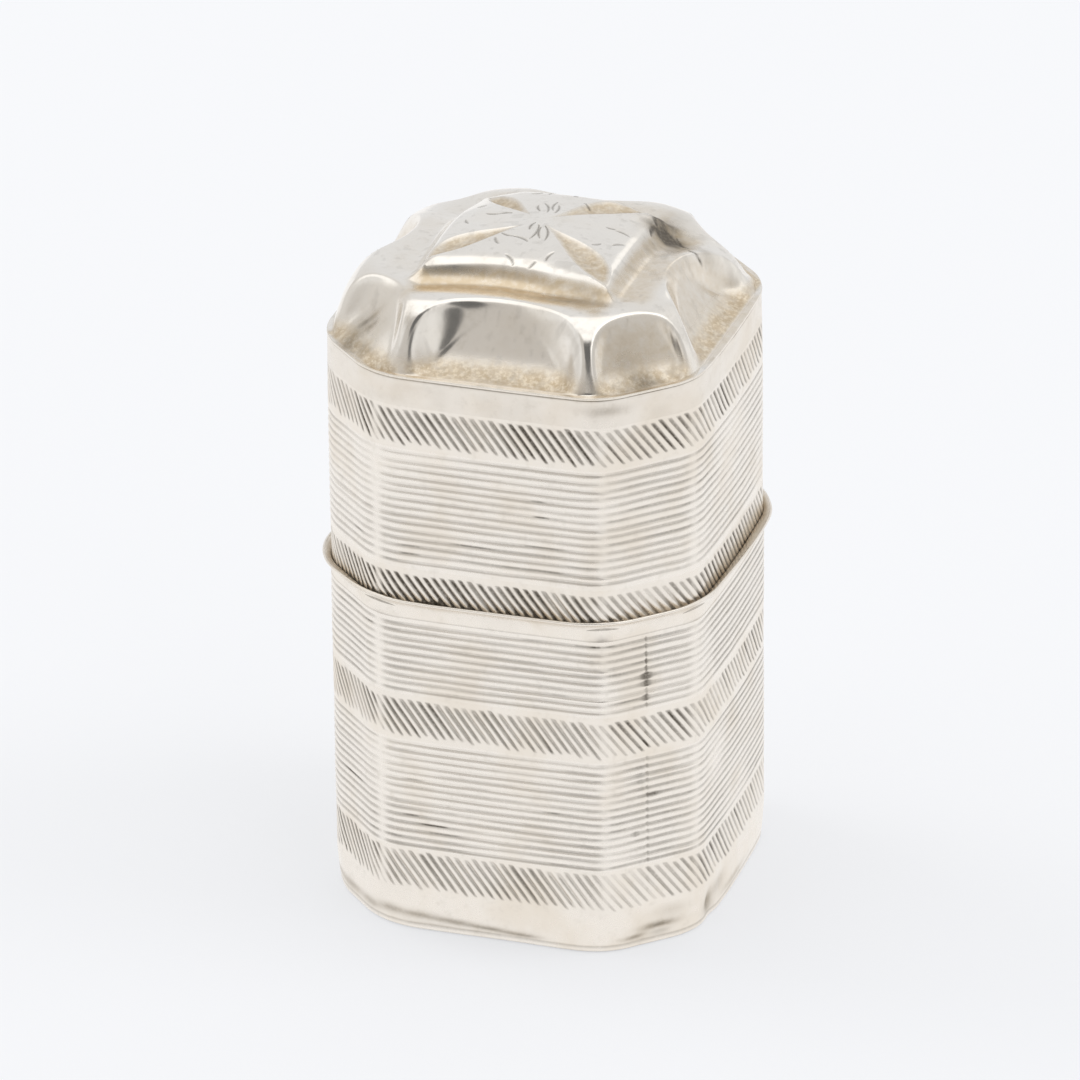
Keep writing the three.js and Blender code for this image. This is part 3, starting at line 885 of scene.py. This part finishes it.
def rim():
    """The flared rim with its thin lip, which is filed away behind, for the hinge."""
    u = np.linspace(0, 1, 2 * COLUMNS + 1)
    flat, _ = plan(u)
    lip = np.where(flat[:, 1] > 5, smooth((np.abs(flat[:, 0]) - LIP_OPENING) / 0.5), 1.0)
    bent = 0.03 * wander(81, 26, u) + 0.015 * wander(82, 70, u)
    for place, wide, out in LIP_BENDS:
        bent = bent - out * np.exp(-((away(u, place) / wide) ** 2))
    top = LIP_TOP - 0.12
    grime_and_shade = np.interp(u, LIP_GRIME_AND_SHADE_PLACES, LIP_GRIME_AND_SHADE) * (0.7 + 0.3 * wander(84, 50, u))
    rows = Rows()

    def section(inset, z, filed_inset, filed_z, dark=0.0, tan=0.0, inner=0.0):
        """A row of the rim: its inset and height along the lip, and where the lip is filed away."""
        side = inset * lip + filed_inset * (1 - lip)
        rise = z * lip + filed_z * (1 - lip)
        share = np.clip((z - SEAT) / (LIP_TOP - SEAT), 0, 1) * lip * (1 - inner)
        rounder = LIP_ROUNDING * np.clip((z - RIM_FOOT) / (SEAT - RIM_FOOT), 0, 1)
        rounder = rounder * (1 - inner) + LID_ROUNDING * inner
        places = ring(u, rise + 0.05 * wander(83, 17, u) * share, side + bent * share, rounder)
        rows.add(places, dark=dark, recess=tan)

    def flare(t):
        """Inset and height up the outside, from the rim's foot (0) to the lip's top (1)."""
        return -LIP_FLARE * t**2, RIM_FOOT * (1 - t) ** 2 + 2 * SEAT * t * (1 - t) + top * t**2

    # Up the outside. At the foot, where the rim meets the wall, the crease is darkened with painted shade.
    for t in np.linspace(0, 1, 13):
        section(*flare(t), *flare(t * 0.55), 0.3 * smooth((0.08 - t) / 0.08))
    for turn in (0.35, 0.9, 1.55, 2.2, 2.8):
        around = LIP_EDGE * np.array((-math.cos(turn), math.sin(turn)))
        section(LIP_EDGE - LIP_FLARE + around[0], top + around[1], -0.17 + 0.012 * turn, SEAT)
    for inset, rise, filed, clean, dirty, tan, inner in LIP_INSIDE:
        section(inset - LIP_FLARE, top + rise, filed, SEAT, clean + dirty * grime_and_shade, tan, inner)
    # Down into the gap and under the ledge, the rim is darkened with painted shade.
    section(0.55 - LIP_FLARE, SEAT, -0.07, SEAT, 0.5, 0.0, 1.0)
    section(0.10, SEAT, 0.10, SEAT, 0.6)
    bore = COLLAR_INSET - COLLAR_GAP
    section(bore, SEAT, bore, SEAT, 0.5)
    section(bore, RIM_FOOT, bore, RIM_FOOT, 0.0)
    rows.close()
    rows.places = [clear_barrel(places) for places in rows.places]
    new_piece("rim", rows.form(), "box", plain_silver, ["box_rim"], 60)


# The collar's rounded edge, from outside: inset and height from its top.
COLLAR_EDGE = ((0.015, -0.15), (0.06, -0.05), (0.14, 0.0), (0.26, 0.0), (0.34, -0.05), (0.385, -0.15))


def collar():
    """The inner collar that the lid slides over, darker towards its foot with painted shade and mottled grime.
    """
    u = wall_columns()
    rows = Rows()
    heights = np.linspace(COLLAR_FOOT, COLLAR_TOP - 0.4, 7)
    profile = [(0.0, z) for z in heights]
    profile += [(inset, COLLAR_TOP + z) for inset, z in COLLAR_EDGE]
    profile += [(COLLAR_SHEET, z) for z in heights[::-1]]
    for inset, z in profile:
        waved = 0.02 * mottle(91, u, z, 20, 4.0)
        # Painted shade towards the foot, where the collar goes down into the rim, and mottled grime.
        grime_and_shade = 0.30 * smooth((SEAT + 0.5 - z) / 0.6) + 0.15 * smooth(mottle(92, u, z, 50, 1.5))
        rows.add(ring(u, z, COLLAR_INSET + inset + waved), dark=grime_and_shade)
    rows.close()
    new_piece("collar", rows.form(), "box", plain_silver, ["box_collar"], 60)


base_plate()
rim()
collar()


# Hinge: radii of the tubes and the wire.
BORE = 0.36
TUBE = 0.65
WIRE = 0.32
TURNED_STEPS = 48


def turned(name, profile, body, node):
    """A turned piece on the hinge line: the profile gives (radius, place along the line)."""
    bm = bmesh.new()
    verts = [bm.verts.new((along * MM, 0, radius * MM)) for radius, along in profile]
    pairs = list(zip(verts, verts[1:]))
    if profile[0][0] > 0:
        pairs.append((verts[-1], verts[0]))
    edges = [bm.edges.new(pair) for pair in pairs]
    bmesh.ops.spin(
        bm,
        geom=verts + edges,
        axis=(1, 0, 0),
        cent=(0, 0, 0),
        angle=2 * math.pi,
        steps=TURNED_STEPS,
        use_merge=True,
    )
    bmesh.ops.remove_doubles(bm, verts=bm.verts[:], dist=WELD)
    bmesh.ops.recalc_face_normals(bm, faces=bm.faces[:])
    bmesh.ops.translate(bm, verts=bm.verts[:], vec=(0, HINGE_Y * MM, HINGE_Z * MM))
    new_piece(name, bm, body, hinge_silver, [node], 40)


for number in range(1, 6):
    node = f"hinge_knuckle_{number}"
    low, high = (corner.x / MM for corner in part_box(node))
    tube = [(BORE, low + 0.05), (BORE + 0.04, low), (TUBE - 0.07, low), (TUBE, low + 0.07)]
    tube += [(TUBE, high - 0.07), (TUBE - 0.07, high), (BORE + 0.04, high), (BORE, high - 0.05)]
    turned(f"knuckle_{number}", tube, "box" if number % 2 else "lid", node)
wire = [(0.0, -BARREL_HALF), (WIRE - 0.1, -BARREL_HALF + 0.02), (WIRE, -BARREL_HALF + 0.12)]
wire += [(radius, -along) for radius, along in reversed(wire)]
turned("hinge_wire", wire, "box", "hinge_pin")


# Sponge.
SPONGE_FOOT = height("scent_sponge", 0)
SPONGE_TOP = height("scent_sponge", 1)
SPONGE_CROWN = 1.5
SPONGE_INSET = 1.7
# How far its sides draw in at the edges and at the waist.
SPONGE_EDGE = 1.6
SPONGE_WAIST = 0.7
SPONGE_LUMPS = 0.12
SPONGE_COLUMNS = 321
FOOT_ROWS = 24
SIDE_ROWS = 60
CROWN_ROWS = 44
PORES = 1100
PORE_SIZES = (0.25, 0.75)
SPONGE_BROWN = (0.45, 0.27, 0.10, 1)
SPONGE_TAN = (0.62, 0.42, 0.19, 1)
SPONGE_STRAW = (0.74, 0.56, 0.32, 1)
PORE_SHADE = (0.12, 0.06, 0.02, 1)


def sponge_finish():
    """Dry sponge: brown clouds, straw ends, small holes, and painted shade in the holes and in the modelled
    pores.
    """
    made, f = material("natural_sponge")
    place = f.node("ShaderNodeTexCoord", None, None, "Object")
    cells = f.node("ShaderNodeTexVoronoi", None, {"Vector": place, "Scale": 2300}, "Distance")
    cloud = f.noise(place, 330, 4)
    fine = f.noise(place, 4200, 4, 0.65)
    hole = 1 - f.step(cells, 0.12, 0.42)
    tint = f.blend(f.step(cloud, 0.35, 0.7), SPONGE_BROWN, SPONGE_TAN)
    tint = f.blend(f.step(fine, 0.5, 0.8) * 0.5, tint, SPONGE_STRAW)
    # Painted shade in the modelled pores and the small holes.
    tint = f.blend(f.mark("pore") * 0.85 + hole * 0.4, tint, PORE_SHADE)
    relief = fine * 0.5 - hole
    bump = f.node("ShaderNodeBump", None, {"Strength": 0.7, "Distance": 0.00015, "Height": relief})
    values = {"Base Color": tint, "Roughness": fine * 0.2 + 0.78, "Normal": bump}
    shader = f.node("ShaderNodeBsdfPrincipled", None, values)
    f.node("ShaderNodeOutputMaterial", None, {"Surface": shader})
    return made


def sponge():
    """A natural sponge cut to the box: a crown, drawn-in sides, lumps and open pores."""
    u = np.linspace(0, 1, SPONGE_COLUMNS)
    brim = SPONGE_TOP - SPONGE_CROWN
    foot = ring(u, SPONGE_FOOT, SPONGE_INSET + SPONGE_EDGE)
    rows = [foot * (share, share, 1) for share in np.linspace(0, 1, FOOT_ROWS)[:-1]]
    for part in np.linspace(0, 1, SIDE_ROWS):
        drawn = SPONGE_EDGE * (2 * part - 1) ** 4 + SPONGE_WAIST * math.sin(math.pi * part) ** 2
        rows.append(ring(u, SPONGE_FOOT + part * (brim - SPONGE_FOOT), SPONGE_INSET + drawn))
    edge = rows[-1]
    for reach in np.linspace(1, 0, CROWN_ROWS)[1:]:
        rows.append(edge * (reach, reach, 0) + (0, 0, brim + SPONGE_CROWN * (1 - reach**2)))
    places = np.stack(rows)
    inward = np.array((0, 0, (SPONGE_FOOT + SPONGE_TOP) / 2)) - places
    inward = inward / np.linalg.norm(inward, axis=-1, keepdims=True)
    rng = np.random.default_rng(7)
    pit = np.zeros(places.shape[:2])
    for _ in range(PORES):
        on = places[rng.integers(12, len(rows) - 2), rng.integers(0, len(u))]
        wide = rng.uniform(*PORE_SIZES)
        far = np.sum((places - on) ** 2, axis=-1) / wide**2
        pit = np.maximum(pit, np.clip(1 - far, 0, 1) ** 0.7 * wide)
    above = smooth((places[..., 2] - SPONGE_FOOT) / 1.0)
    lumps = SPONGE_LUMPS * (1 + mottle(121, np.broadcast_to(u, pit.shape), places[..., 2], 30, 2.2))
    places = places + inward * ((pit + lumps) * above)[..., None]
    places[:, -1] = places[:, 0]
    pores = np.clip(pit / 0.5, 0, 1)
    pores[:, -1] = pores[:, 0]
    form = sheet_form(places, {"pore": pores})
    made = new_piece("sponge", form, "box", sponge_finish(), ["scent_sponge"], 180)


sponge()


# Star top.
SHOULDER_RISE = 4.6
SHOULDER_INSET = 5.0
RIB_FOOT = 0.25
# How full the ribs are: the front left of the top is fuller than the rest.
RIB_FULLNESS = 3.0
LEFT_FULLNESS = 1.4
RIB_ROUNDING = 2.0
HOLLOW_FLOOR = 2.5
HOLLOW_BROW = 1.9
HOLLOW_FLANK = 0.62
# One hollow on each side, anticlockwise from the right: sideways shift, width, depth, how square its arch is,
# how fully it is pressed in, how golden its walls are: tarnish and painted warm interreflection.
HOLLOWS = (
    (0.0, 13.6, 4.9, 1.7, 0.95, 0.45),
    (0.0, 8.0, 3.7, 2.0, 1.0, 0.45),
    (0.0, 13.6, 4.9, 1.7, 1.0, 0.3),
    (0.0, 8.0, 3.7, 2.0, 1.0, 0.45),
    (-0.8, 11.4, 4.4, 1.7, 0.85, 0.45),
    (0.6, 9.4, 4.4, 1.6, 0.78, 0.10),
    (0.4, 13.4, 4.9, 1.8, 1.0, 0.12),
    (0.1, 7.8, 3.6, 2.4, 1.0, 0.6),
)
# The plateau's edges, anticlockwise from the right: distance from the middle, how far each bows in, how far
# it lies below the middle, depth of the cove at its foot, how much shallower that grows, how golden it is:
# tarnish and painted warm interreflection.
PLATEAU_EDGES = (
    (6.6, 0.1, 0.95, 0.20, 0.0, 0.60),
    (6.5, 0.3, 0.35, 0.10, 0.0, 0.3),
    (6.6, -0.4, 0.80, 0.10, 0.0, 0.1),
    (6.8, 1.2, 0.90, 0.16, 0.7, 1.0),
)
PLATEAU_RISER = 1.3
CREST_ROUNDING = 0.28
COVE_WIDTH = 1.2
# The flutes, anticlockwise from the back right: start, end, width, and to which side the curved edge lies.
FLUTES = ((0.5, 9.0, 2.0, 1), (1.0, 7.8, 1.4, 0), (1.0, 9.2, 2.3, -1), (0.6, 10.2, 2.3, 1))
FLUTE_MIDDLE = (-0.5, 0.3)
FLUTE_BELLY = 1.4
FLUTE_DEPTH = 0.42
# Engraved strokes on the plateau, from one end to the other.
STROKES = (
    (-1.4, 3.0, -0.9, 1.9),
    (-1.1, 3.5, -0.4, 1.8),
    (-0.3, 3.9, -0.1, 2.3),
    (0.0, 3.3, 0.1, 1.8),
    (-0.6, -0.1, -0.7, -1.3),
    (-0.3, -0.4, -0.3, -2.5),
    (0.0, -0.7, 0.4, -2.3),
    (0.2, -0.5, 0.8, -2.5),
    (-2.7, -2.8, -2.2, -3.6),
    (-1.4, -4.7, -0.5, -5.6),
    (0.6, -5.6, 0.9, -4.9),
    (1.6, -4.7, 1.9, -3.7),
    (-2.4, -2.2, -1.6, -2.4),
    (-1.6, -2.4, -0.3, -2.9),
    (4.0, 1.5, 4.7, 1.6),
    (4.7, 1.4, 5.8, 1.2),
    (4.0, -1.7, 4.5, -1.2),
    (5.2, -1.0, 5.9, -0.3),
    (-4.8, 1.5, -3.7, 1.4),
    (-3.7, 1.4, -2.8, 1.5),
    (-5.9, 0.4, -5.5, -0.3),
    (-5.9, 2.9, -5.3, 3.3),
    (-2.6, 5.3, -1.9, 5.7),
    (-1.4, 5.3, -1.2, 6.0),
    (0.0, 6.3, 0.7, 5.5),
    (1.5, 4.4, 2.1, 3.9),
)
STROKE_HALF = 0.15
STROKE_BEND = 0.10
ENGRAVED_DEPTH = 0.05
# An old crack at the back right corner of the plateau, and scratches beside it.
CRACK_HALF = 0.18
CRACK_BEND = 0.1
CRACK_WEIGHT = 1.3
CRACK = ((6.1, 6.6, 6.6, 5.2), (6.6, 5.2, 6.7, 3.4), (7.7, 6.4, 9.0, 4.7), (9.2, 4.0, 10.5, 3.5))
# Grime on the top, with painted shade in places: place, half width, half length, strength.
GRIME_AND_SHADE = (
    (6.8, 5.9, 1.1, 2.2, 1.10),
    (7.8, 5.2, 1.1, 1.3, 0.70),
    (9.4, 4.6, 1.5, 0.7, 0.50),
    (7.2, 2.6, 0.7, 1.6, 0.18),
    # Painted shade on the floors of the front left and the front right hollows.
    (-10.6, -10.4, 1.9, 1.9, 0.50),
    (10.4, -10.7, 1.7, 1.4, 0.55),
    (0.4, -12.8, 5.0, 0.8, 0.06),
    # Painted shade: a line along the plateau's right edge, one along the front cove, and patches over the
    # front cove's right half.
    (6.8, -1.0, 0.35, 4.5, 0.22),
    (-1.0, -7.6, 5.0, 0.35, 0.20),
    (3.0, -6.35, 1.3, 0.35, 0.30),
    (4.6, -6.65, 1.2, 0.35, 0.45),
    (6.0, -7.05, 0.9, 0.32, 0.55),
    (4.2, -7.8, 2.8, 0.55, 0.36),
    # Dark scratches at the front left.
    (-9.8, -9.2, 0.8, 0.2, 0.40),
    (-9.5, -9.8, 0.5, 0.2, 0.35),
    (-6.2, -11.6, 0.3, 0.5, 0.40),
)
# Where the top has sunk, or stands fuller: place, reach, depth.
SUNK = (
    (-8.0, 7.0, 3.6, 0.9),
    (9.5, 6.5, 3.8, 1.1),
    (2.5, -6.4, 2.5, 0.2),
    (-11.0, -1.0, 3.4, -0.15),
)
# Waves in the star top: height, seed, size.
DOME_WAVES = ((0.03, 111, 2.5), (0.008, 112, 0.7))
DOME_SHEET = 0.4
SLOPE_STEP = 0.2
# The star top's rolled edge: its bulge, and degrees round it.
EDGE_BULGE = 0.04
EDGE_TURNS = np.linspace(-90, 60, 7)
# Its rows, as shares of the way from the middle to the edge: closest in the hollows.
INSIDE_ROWS = np.concatenate((np.linspace(0, 0.58, 18), np.linspace(0.58, 1, 46)[1:]))
OUTSIDE_ROWS = np.concatenate((np.linspace(1, 0.72, 72), np.linspace(0.72, 0, 132)[1:]))


def rib_rise(inset, fullness):
    """Height of a rib at an inset from the edge."""
    run = np.clip((inset - RIB_FOOT) / (SHOULDER_INSET - RIB_FOOT), 0, 1)
    return SHOULDER_RISE * (1 - (1 - run) ** fullness)


def hollow_rise(inset, depth, fullness):
    """Height of a hollow's floor and brow at an inset from the edge."""
    run = np.clip(inset / depth, 0, 1)
    return rib_rise(depth, fullness) * (1 - (1 - run**HOLLOW_FLOOR) ** HOLLOW_BROW)


def plateau_rise(x, y, around):
    """Height that the star plateau adds, how golden its coves and flutes are, and how matt its flutes."""
    within = np.full_like(x, WIDTH)
    fall = np.zeros_like(x)
    cove = np.zeros_like(x)
    gold = np.zeros_like(x)
    for k, (distance, bow_in, drop, deep, lean, golden) in enumerate(PLATEAU_EDGES):
        out = side_out(2 * k)
        ahead = out[0] * x + out[1] * y
        along = np.clip((out[0] * y - out[1] * x) / distance, -1, 1)
        aside = np.abs(out[0] * y - out[1] * x)
        edge = distance - bow_in * (1 - np.clip(aside / distance, 0, 1) ** 2)
        within = np.minimum(within, edge - ahead)
        fall = np.maximum(fall, drop * np.clip(ahead / distance, 0, 1.3) ** 1.4)
        beside = smooth((distance + 1 - aside) / 1.5)
        off = ahead - edge - PLATEAU_RISER
        cove = np.maximum(cove, deep * (1 - lean * along) * beside * np.exp(-((off / COVE_WIDTH) ** 2)))
        tinted = smooth((off + PLATEAU_RISER + 0.05) / 0.4) * smooth((2.2 - off) / 1.2)
        gold = np.maximum(gold, golden * beside * tinted)
    beyond = (np.sqrt(within**2 + CREST_ROUNDING**2) - within) / 2
    on_top = (1 - np.clip(beyond / PLATEAU_RISER, 0, 1)) ** 2
    dip = np.zeros_like(x)
    for k, (start, end, width, lean) in enumerate(FLUTES):
        out = side_out(2 * k + 1)
        ahead = out[0] * (x - FLUTE_MIDDLE[0]) + out[1] * (y - FLUTE_MIDDLE[1])
        aside = out[0] * (y - FLUTE_MIDDLE[1]) - out[1] * (x - FLUTE_MIDDLE[0])
        run = np.clip((ahead - start) / (end - start), 0, 1)
        leaf = np.maximum(np.sin(math.pi * run**FLUTE_BELLY), 1e-6)
        off = aside - lean * 0.25 * width * leaf
        dip = np.maximum(dip, np.clip(1 - (2 * off / (width * leaf)) ** 2, 0, 1) * leaf)
    cap = np.maximum(DOME_TOP - LID_EDGE - fall - around, 0)
    fluted = np.clip(dip * 1.8, 0, 1) * on_top
    return on_top * (cap - FLUTE_DEPTH * dip) - cove, np.maximum(gold, fluted), fluted


def stroke_depth(x, y, line, half, bend):
    """1 along the middle of an engraved stroke between two ends, 0 outside its leaf shape."""
    x0, y0, x1, y1 = line
    long = math.hypot(x1 - x0, y1 - y0)
    run = ((x - x0) * (x1 - x0) + (y - y0) * (y1 - y0)) / long**2
    leaf = np.clip(4 * run * (1 - run), 0, 1)
    off = ((x - x0) * (y1 - y0) - (y - y0) * (x1 - x0)) / long - bend * long * leaf
    return np.clip(1 - np.abs(off) / np.maximum(half * leaf**0.5, 1e-6), 0, 1)


def patches(seed, x, y, size):
    """Smooth random patches on the star top, from -1 to 1."""
    return mottle(seed, x / WIDTH / 2 + 0.5, y + WIDTH, round(2 * WIDTH / size), size)


def dome_rise(x, y):
    """Height of the star top's outside over the lid's edge, and how golden, dark and matt it is there."""
    insets = [side_distance(k) - side_out(k)[0] * x - side_out(k)[1] * y for k in range(SIDES)]
    ordered = np.sort(np.stack(insets), axis=0)
    crest = np.maximum(RIB_ROUNDING - (ordered[1] - ordered[0]), 0) ** 2 / (4 * RIB_ROUNDING)
    fullness = RIB_FULLNESS + LEFT_FULLNESS * smooth((-x - 3) / 6) * smooth((5 - y) / 8)
    full = rib_rise(np.maximum(ordered[0] - crest, 0), fullness)
    rise = full.copy()
    walls = np.zeros_like(x)
    within = np.zeros_like(x)
    for k, (shift, width, depth, square, fully, golden) in enumerate(HOLLOWS):
        out = side_out(k)
        along = np.abs(out[0] * y - out[1] * x - shift)
        inset = np.maximum(insets[k], 0)
        arch = (2 * along / width) ** square + (inset / depth) ** square
        pressed = 1 - smooth((arch - HOLLOW_FLANK) / (1 - HOLLOW_FLANK))
        rise = rise - fully * pressed * np.maximum(full - hollow_rise(insets[k], depth, fullness), 0)
        walls = np.maximum(walls, golden * smooth(pressed * 1.5) * smooth((depth - inset) / 1.2))
        within = np.maximum(within, smooth((1.06 - 2 * along / width) / 0.25))
    low = smooth((1.5 - rise) / 1.3) * smooth((ordered[0] - 0.1) / 0.4) * within
    extra, gold, fluted = plateau_rise(x, y, rise)
    rise = rise + extra
    worn = 0
    for high, seed, size in DOME_WAVES:
        worn = worn + high * patches(seed, x, y, size)
    for place_x, place_y, reach, deep in SUNK:
        worn = worn - deep * np.exp(-((x - place_x) ** 2 + (y - place_y) ** 2) / reach**2)
    rise = rise + worn * smooth(rise / 2)
    cut = np.zeros_like(x)
    for number, line in enumerate(STROKES):
        cut = np.maximum(cut, stroke_depth(x, y, line, STROKE_HALF, STROKE_BEND * (-1) ** number))
    for line in CRACK:
        cut = np.maximum(cut, CRACK_WEIGHT * stroke_depth(x, y, line, CRACK_HALF, CRACK_BEND))
    # Grime, and painted shade in the hollows and along the front cove, from the table.
    grime_and_shade = 0
    for place_x, place_y, wide, long, strong in GRIME_AND_SHADE:
        grime_and_shade = grime_and_shade + strong * np.exp(-(((x - place_x) / wide) ** 2) - ((y - place_y) / long) ** 2)
    grime_and_shade = grime_and_shade * (0.7 + 0.3 * patches(113, x, y, 0.8))
    spots = smooth((patches(115, x, y, 0.45) + 0.5 * patches(116, x, y, 1.6) - 0.45) / 0.4)
    clouds = 0.07 * low * (1 + patches(114, x, y, 0.9))
    dark = np.clip(0.8 * cut + grime_and_shade + 0.10 * fluted + 0.12 * spots + clouds, 0, 1)
    # Golden: tarnish and painted warm interreflection in the hollows, coves and flutes, warmed further by the
    # grime and painted shade.
    golden = np.clip(np.maximum(low, walls) + gold + grime_and_shade, 0, 1)
    return rise - ENGRAVED_DEPTH * cut, golden, dark, np.maximum(low, 0.9 * fluted)


def star_top():
    """The embossed top as one sheet: its inside from the middle out, its rolled edge, its outside back in."""
    edge, out = plan(np.linspace(0, 1, COLUMNS + 1), TOP_ROUNDING)
    rows = Rows()
    for reach in INSIDE_ROWS:
        x, y = (edge * reach).T
        z = dome_rise(x, y)[0]
        dx = (dome_rise(x + SLOPE_STEP, y)[0] - dome_rise(x - SLOPE_STEP, y)[0]) / (2 * SLOPE_STEP)
        dy = (dome_rise(x, y + SLOPE_STEP)[0] - dome_rise(x, y - SLOPE_STEP)[0]) / (2 * SLOPE_STEP)
        under = LID_EDGE + z - DOME_SHEET * np.sqrt(1 + dx**2 + dy**2)
        rows.add(np.stack((x, y, np.maximum(under, LID_BAND_TOP)), -1), dark=0.15)
    for turn in EDGE_TURNS:
        bulge = EDGE_BULGE * max(math.cos(math.radians(turn)), 0) ** 0.5
        z = (LID_BAND_TOP + LID_EDGE + (LID_EDGE - LID_BAND_TOP) * math.sin(math.radians(turn))) / 2
        flat = edge + out * bulge
        rows.add(np.column_stack((flat, np.full(len(flat), z))), recess=0.3, dark=0.03)
    for reach in OUTSIDE_ROWS:
        x, y = (edge * reach).T
        z, gold, dark, matt = dome_rise(x, y)
        rows.add(np.stack((x, y, LID_EDGE + z), -1), recess=gold, dark=dark, frosted=matt)
    new_piece("star_top", rows.form(), "lid", embossed_silver, ["lid_top"], 50)


star_top()


# Studio, in metres: a camera at the photograph's angle, a pale floor, a tent of white cloth and two lamps.
CAMERA_TURN = math.radians(18.1)
CAMERA_RISE = math.radians(25.75)
CAMERA_ROLL = math.radians(0.75)
CAMERA_FAR = 0.7
AIM_RIGHT = -0.000607
AIM_HEIGHT = 0.0251
# The lens in pixels of the photograph, and the photograph's width.
LENS_PIXELS = 9892
PHOTO_PIXELS = 1080
SENSOR = 36
BACKDROP = (0.892, 0.905, 0.932, 1)
FLOOR_PALE = (0.84, 0.845, 0.86, 1)
FLOOR_MIRRORED = (1.03, 1.03, 1.04, 1)
FLOOR_SIZE = 4
FLOOR_GAP = 0.00002
# Patches on the tent's grey cloth: degrees round it, degrees up, how nearly a ray points there where the
# patch starts and where it is full, its colour.
TENT_CLOTH = (0.66, 0.65, 0.64, 1)
TENT_PATCHES = (
    (198, 15, 0.35, 0.85, (0.86, 0.87, 0.89, 1)),
    (90, 15, 0.35, 0.80, (0.95, 0.95, 0.95, 1)),
    (270, 20, 0.45, 0.85, (0.80, 0.79, 0.78, 1)),
    (355, 25, 0.60, 0.90, (0.64, 0.62, 0.60, 1)),
    (0, 90, 0.80, 0.90, (1.3, 1.3, 1.3, 1)),
    (282, 45, 0.82, 0.99, (1.25, 1.25, 1.25, 1)),
    (78, 45, 0.82, 0.99, (1.7, 1.7, 1.7, 1)),
    (75, 25, 0.88, 0.97, (0.68, 0.67, 0.66, 1)),
    (308, 30, 0.93, 0.98, (0.90, 0.90, 0.90, 1)),
    (170, 27, 0.988, 0.996, (1.2, 1.2, 1.2, 1)),
    (14, 40, 0.940, 0.975, (0.15, 0.15, 0.15, 1)),
    (27, 12, 0.972, 0.988, (0.16, 0.16, 0.16, 1)),
)

back = Vector((
    math.sin(CAMERA_TURN) * math.cos(CAMERA_RISE),
    -math.cos(CAMERA_TURN) * math.cos(CAMERA_RISE),
    math.sin(CAMERA_RISE),
))
right = Vector((math.cos(CAMERA_TURN), math.sin(CAMERA_TURN), 0))
up = back.cross(right)
across = right * math.cos(CAMERA_ROLL) - up * math.sin(CAMERA_ROLL)
above = up * math.cos(CAMERA_ROLL) + right * math.sin(CAMERA_ROLL)
eye = right * AIM_RIGHT + Vector((0, 0, AIM_HEIGHT)) + back * CAMERA_FAR
camera = bpy.data.objects.new("camera", bpy.data.cameras.new("camera"))
camera.data.sensor_width = SENSOR
camera.data.lens = LENS_PIXELS / PHOTO_PIXELS * SENSOR
camera.data.clip_start = 0.01
camera.data.clip_end = 20
camera.matrix_world = Matrix((across, above, back)).transposed().to_4x4()
camera.location = eye
bpy.context.scene.collection.objects.link(camera)
bpy.context.scene.camera = camera


def pale_floor():
    """A floor that keeps the object's shadow and is pale to the camera and in the silver."""
    made, f = material("pale_floor")
    camera_ray = f.node("ShaderNodeLightPath", None, None, "Is Camera Ray")
    glossy_ray = f.node("ShaderNodeLightPath", None, None, "Is Glossy Ray")
    seen = camera_ray * 0.6 + glossy_ray * 0.95
    lit = f.node("ShaderNodeBsdfDiffuse", None, {"Color": FLOOR_PALE})
    colour = f.blend(glossy_ray, BACKDROP, FLOOR_MIRRORED)
    pale = f.node("ShaderNodeEmission", None, {"Color": colour, "Strength": 1.0})
    shader = f.node("ShaderNodeMixShader", None, {0: seen, 1: lit, 2: pale})
    f.node("ShaderNodeOutputMaterial", None, {"Surface": shader})
    bm = bmesh.new()
    bmesh.ops.create_grid(bm, x_segments=4, y_segments=4, size=FLOOR_SIZE)
    mesh = bpy.data.meshes.new("floor")
    bm.to_mesh(mesh)
    bm.free()
    mesh.materials.append(made)
    floor = bpy.data.objects.new("floor", mesh)
    floor.location.z = -FLOOR_GAP
    bpy.context.scene.collection.objects.link(floor)


def tent():
    """Cloth all round: pale behind and at the sides, bright overhead, soft glows, two dark openings."""
    world = bpy.data.worlds.new("tent")
    world.use_nodes = True
    bpy.context.scene.world = world
    f = Finish(world.node_tree)
    camera_ray = f.node("ShaderNodeLightPath", None, None, "Is Camera Ray")
    way = f.node("ShaderNodeTexCoord", None, None, "Generated")

    def towards(turn, rise):
        """How nearly a ray points to a place on the tent, given in degrees: 1 straight at it."""
        turn, rise = math.radians(turn), math.radians(rise)
        at = (math.sin(turn) * math.cos(rise), -math.cos(turn) * math.cos(rise), math.sin(rise))
        return f.node("ShaderNodeVectorMath", {"operation": "DOT_PRODUCT"}, {0: way, 1: at}, "Value")

    cloth = TENT_CLOTH
    for turn, rise, starts, full, colour in TENT_PATCHES:
        cloth = f.blend(f.step(towards(turn, rise), starts, full), cloth, colour)
    seen = f.blend(camera_ray, cloth, BACKDROP)
    sky = f.node("ShaderNodeBackground", None, {"Color": seen, "Strength": 1.0})
    f.node("ShaderNodeOutputWorld", None, {"Surface": sky})


def soft_lamp(name, place, size, power):
    """A lamp turned to the object, for the floor and the sponge. It leaves no bright patch in the silver."""
    lamp = bpy.data.lights.new(name, "AREA")
    lamp.shape = "DISK"
    lamp.size = size
    lamp.energy = power
    made = bpy.data.objects.new(name, lamp)
    made.location = place
    made.rotation_euler = (Vector((0, 0, 0.02)) - Vector(place)).to_track_quat("-Z", "Y").to_euler()
    made.visible_glossy = False
    bpy.context.scene.collection.objects.link(made)


pale_floor()
tent()
soft_lamp("left_lamp", (-0.7, 0.15, 0.7), size=0.5, power=1.45)
soft_lamp("right_lamp", (0.7, 0.15, 0.7), size=0.5, power=1.35)

bpy.context.scene.view_settings.view_transform = "Standard"
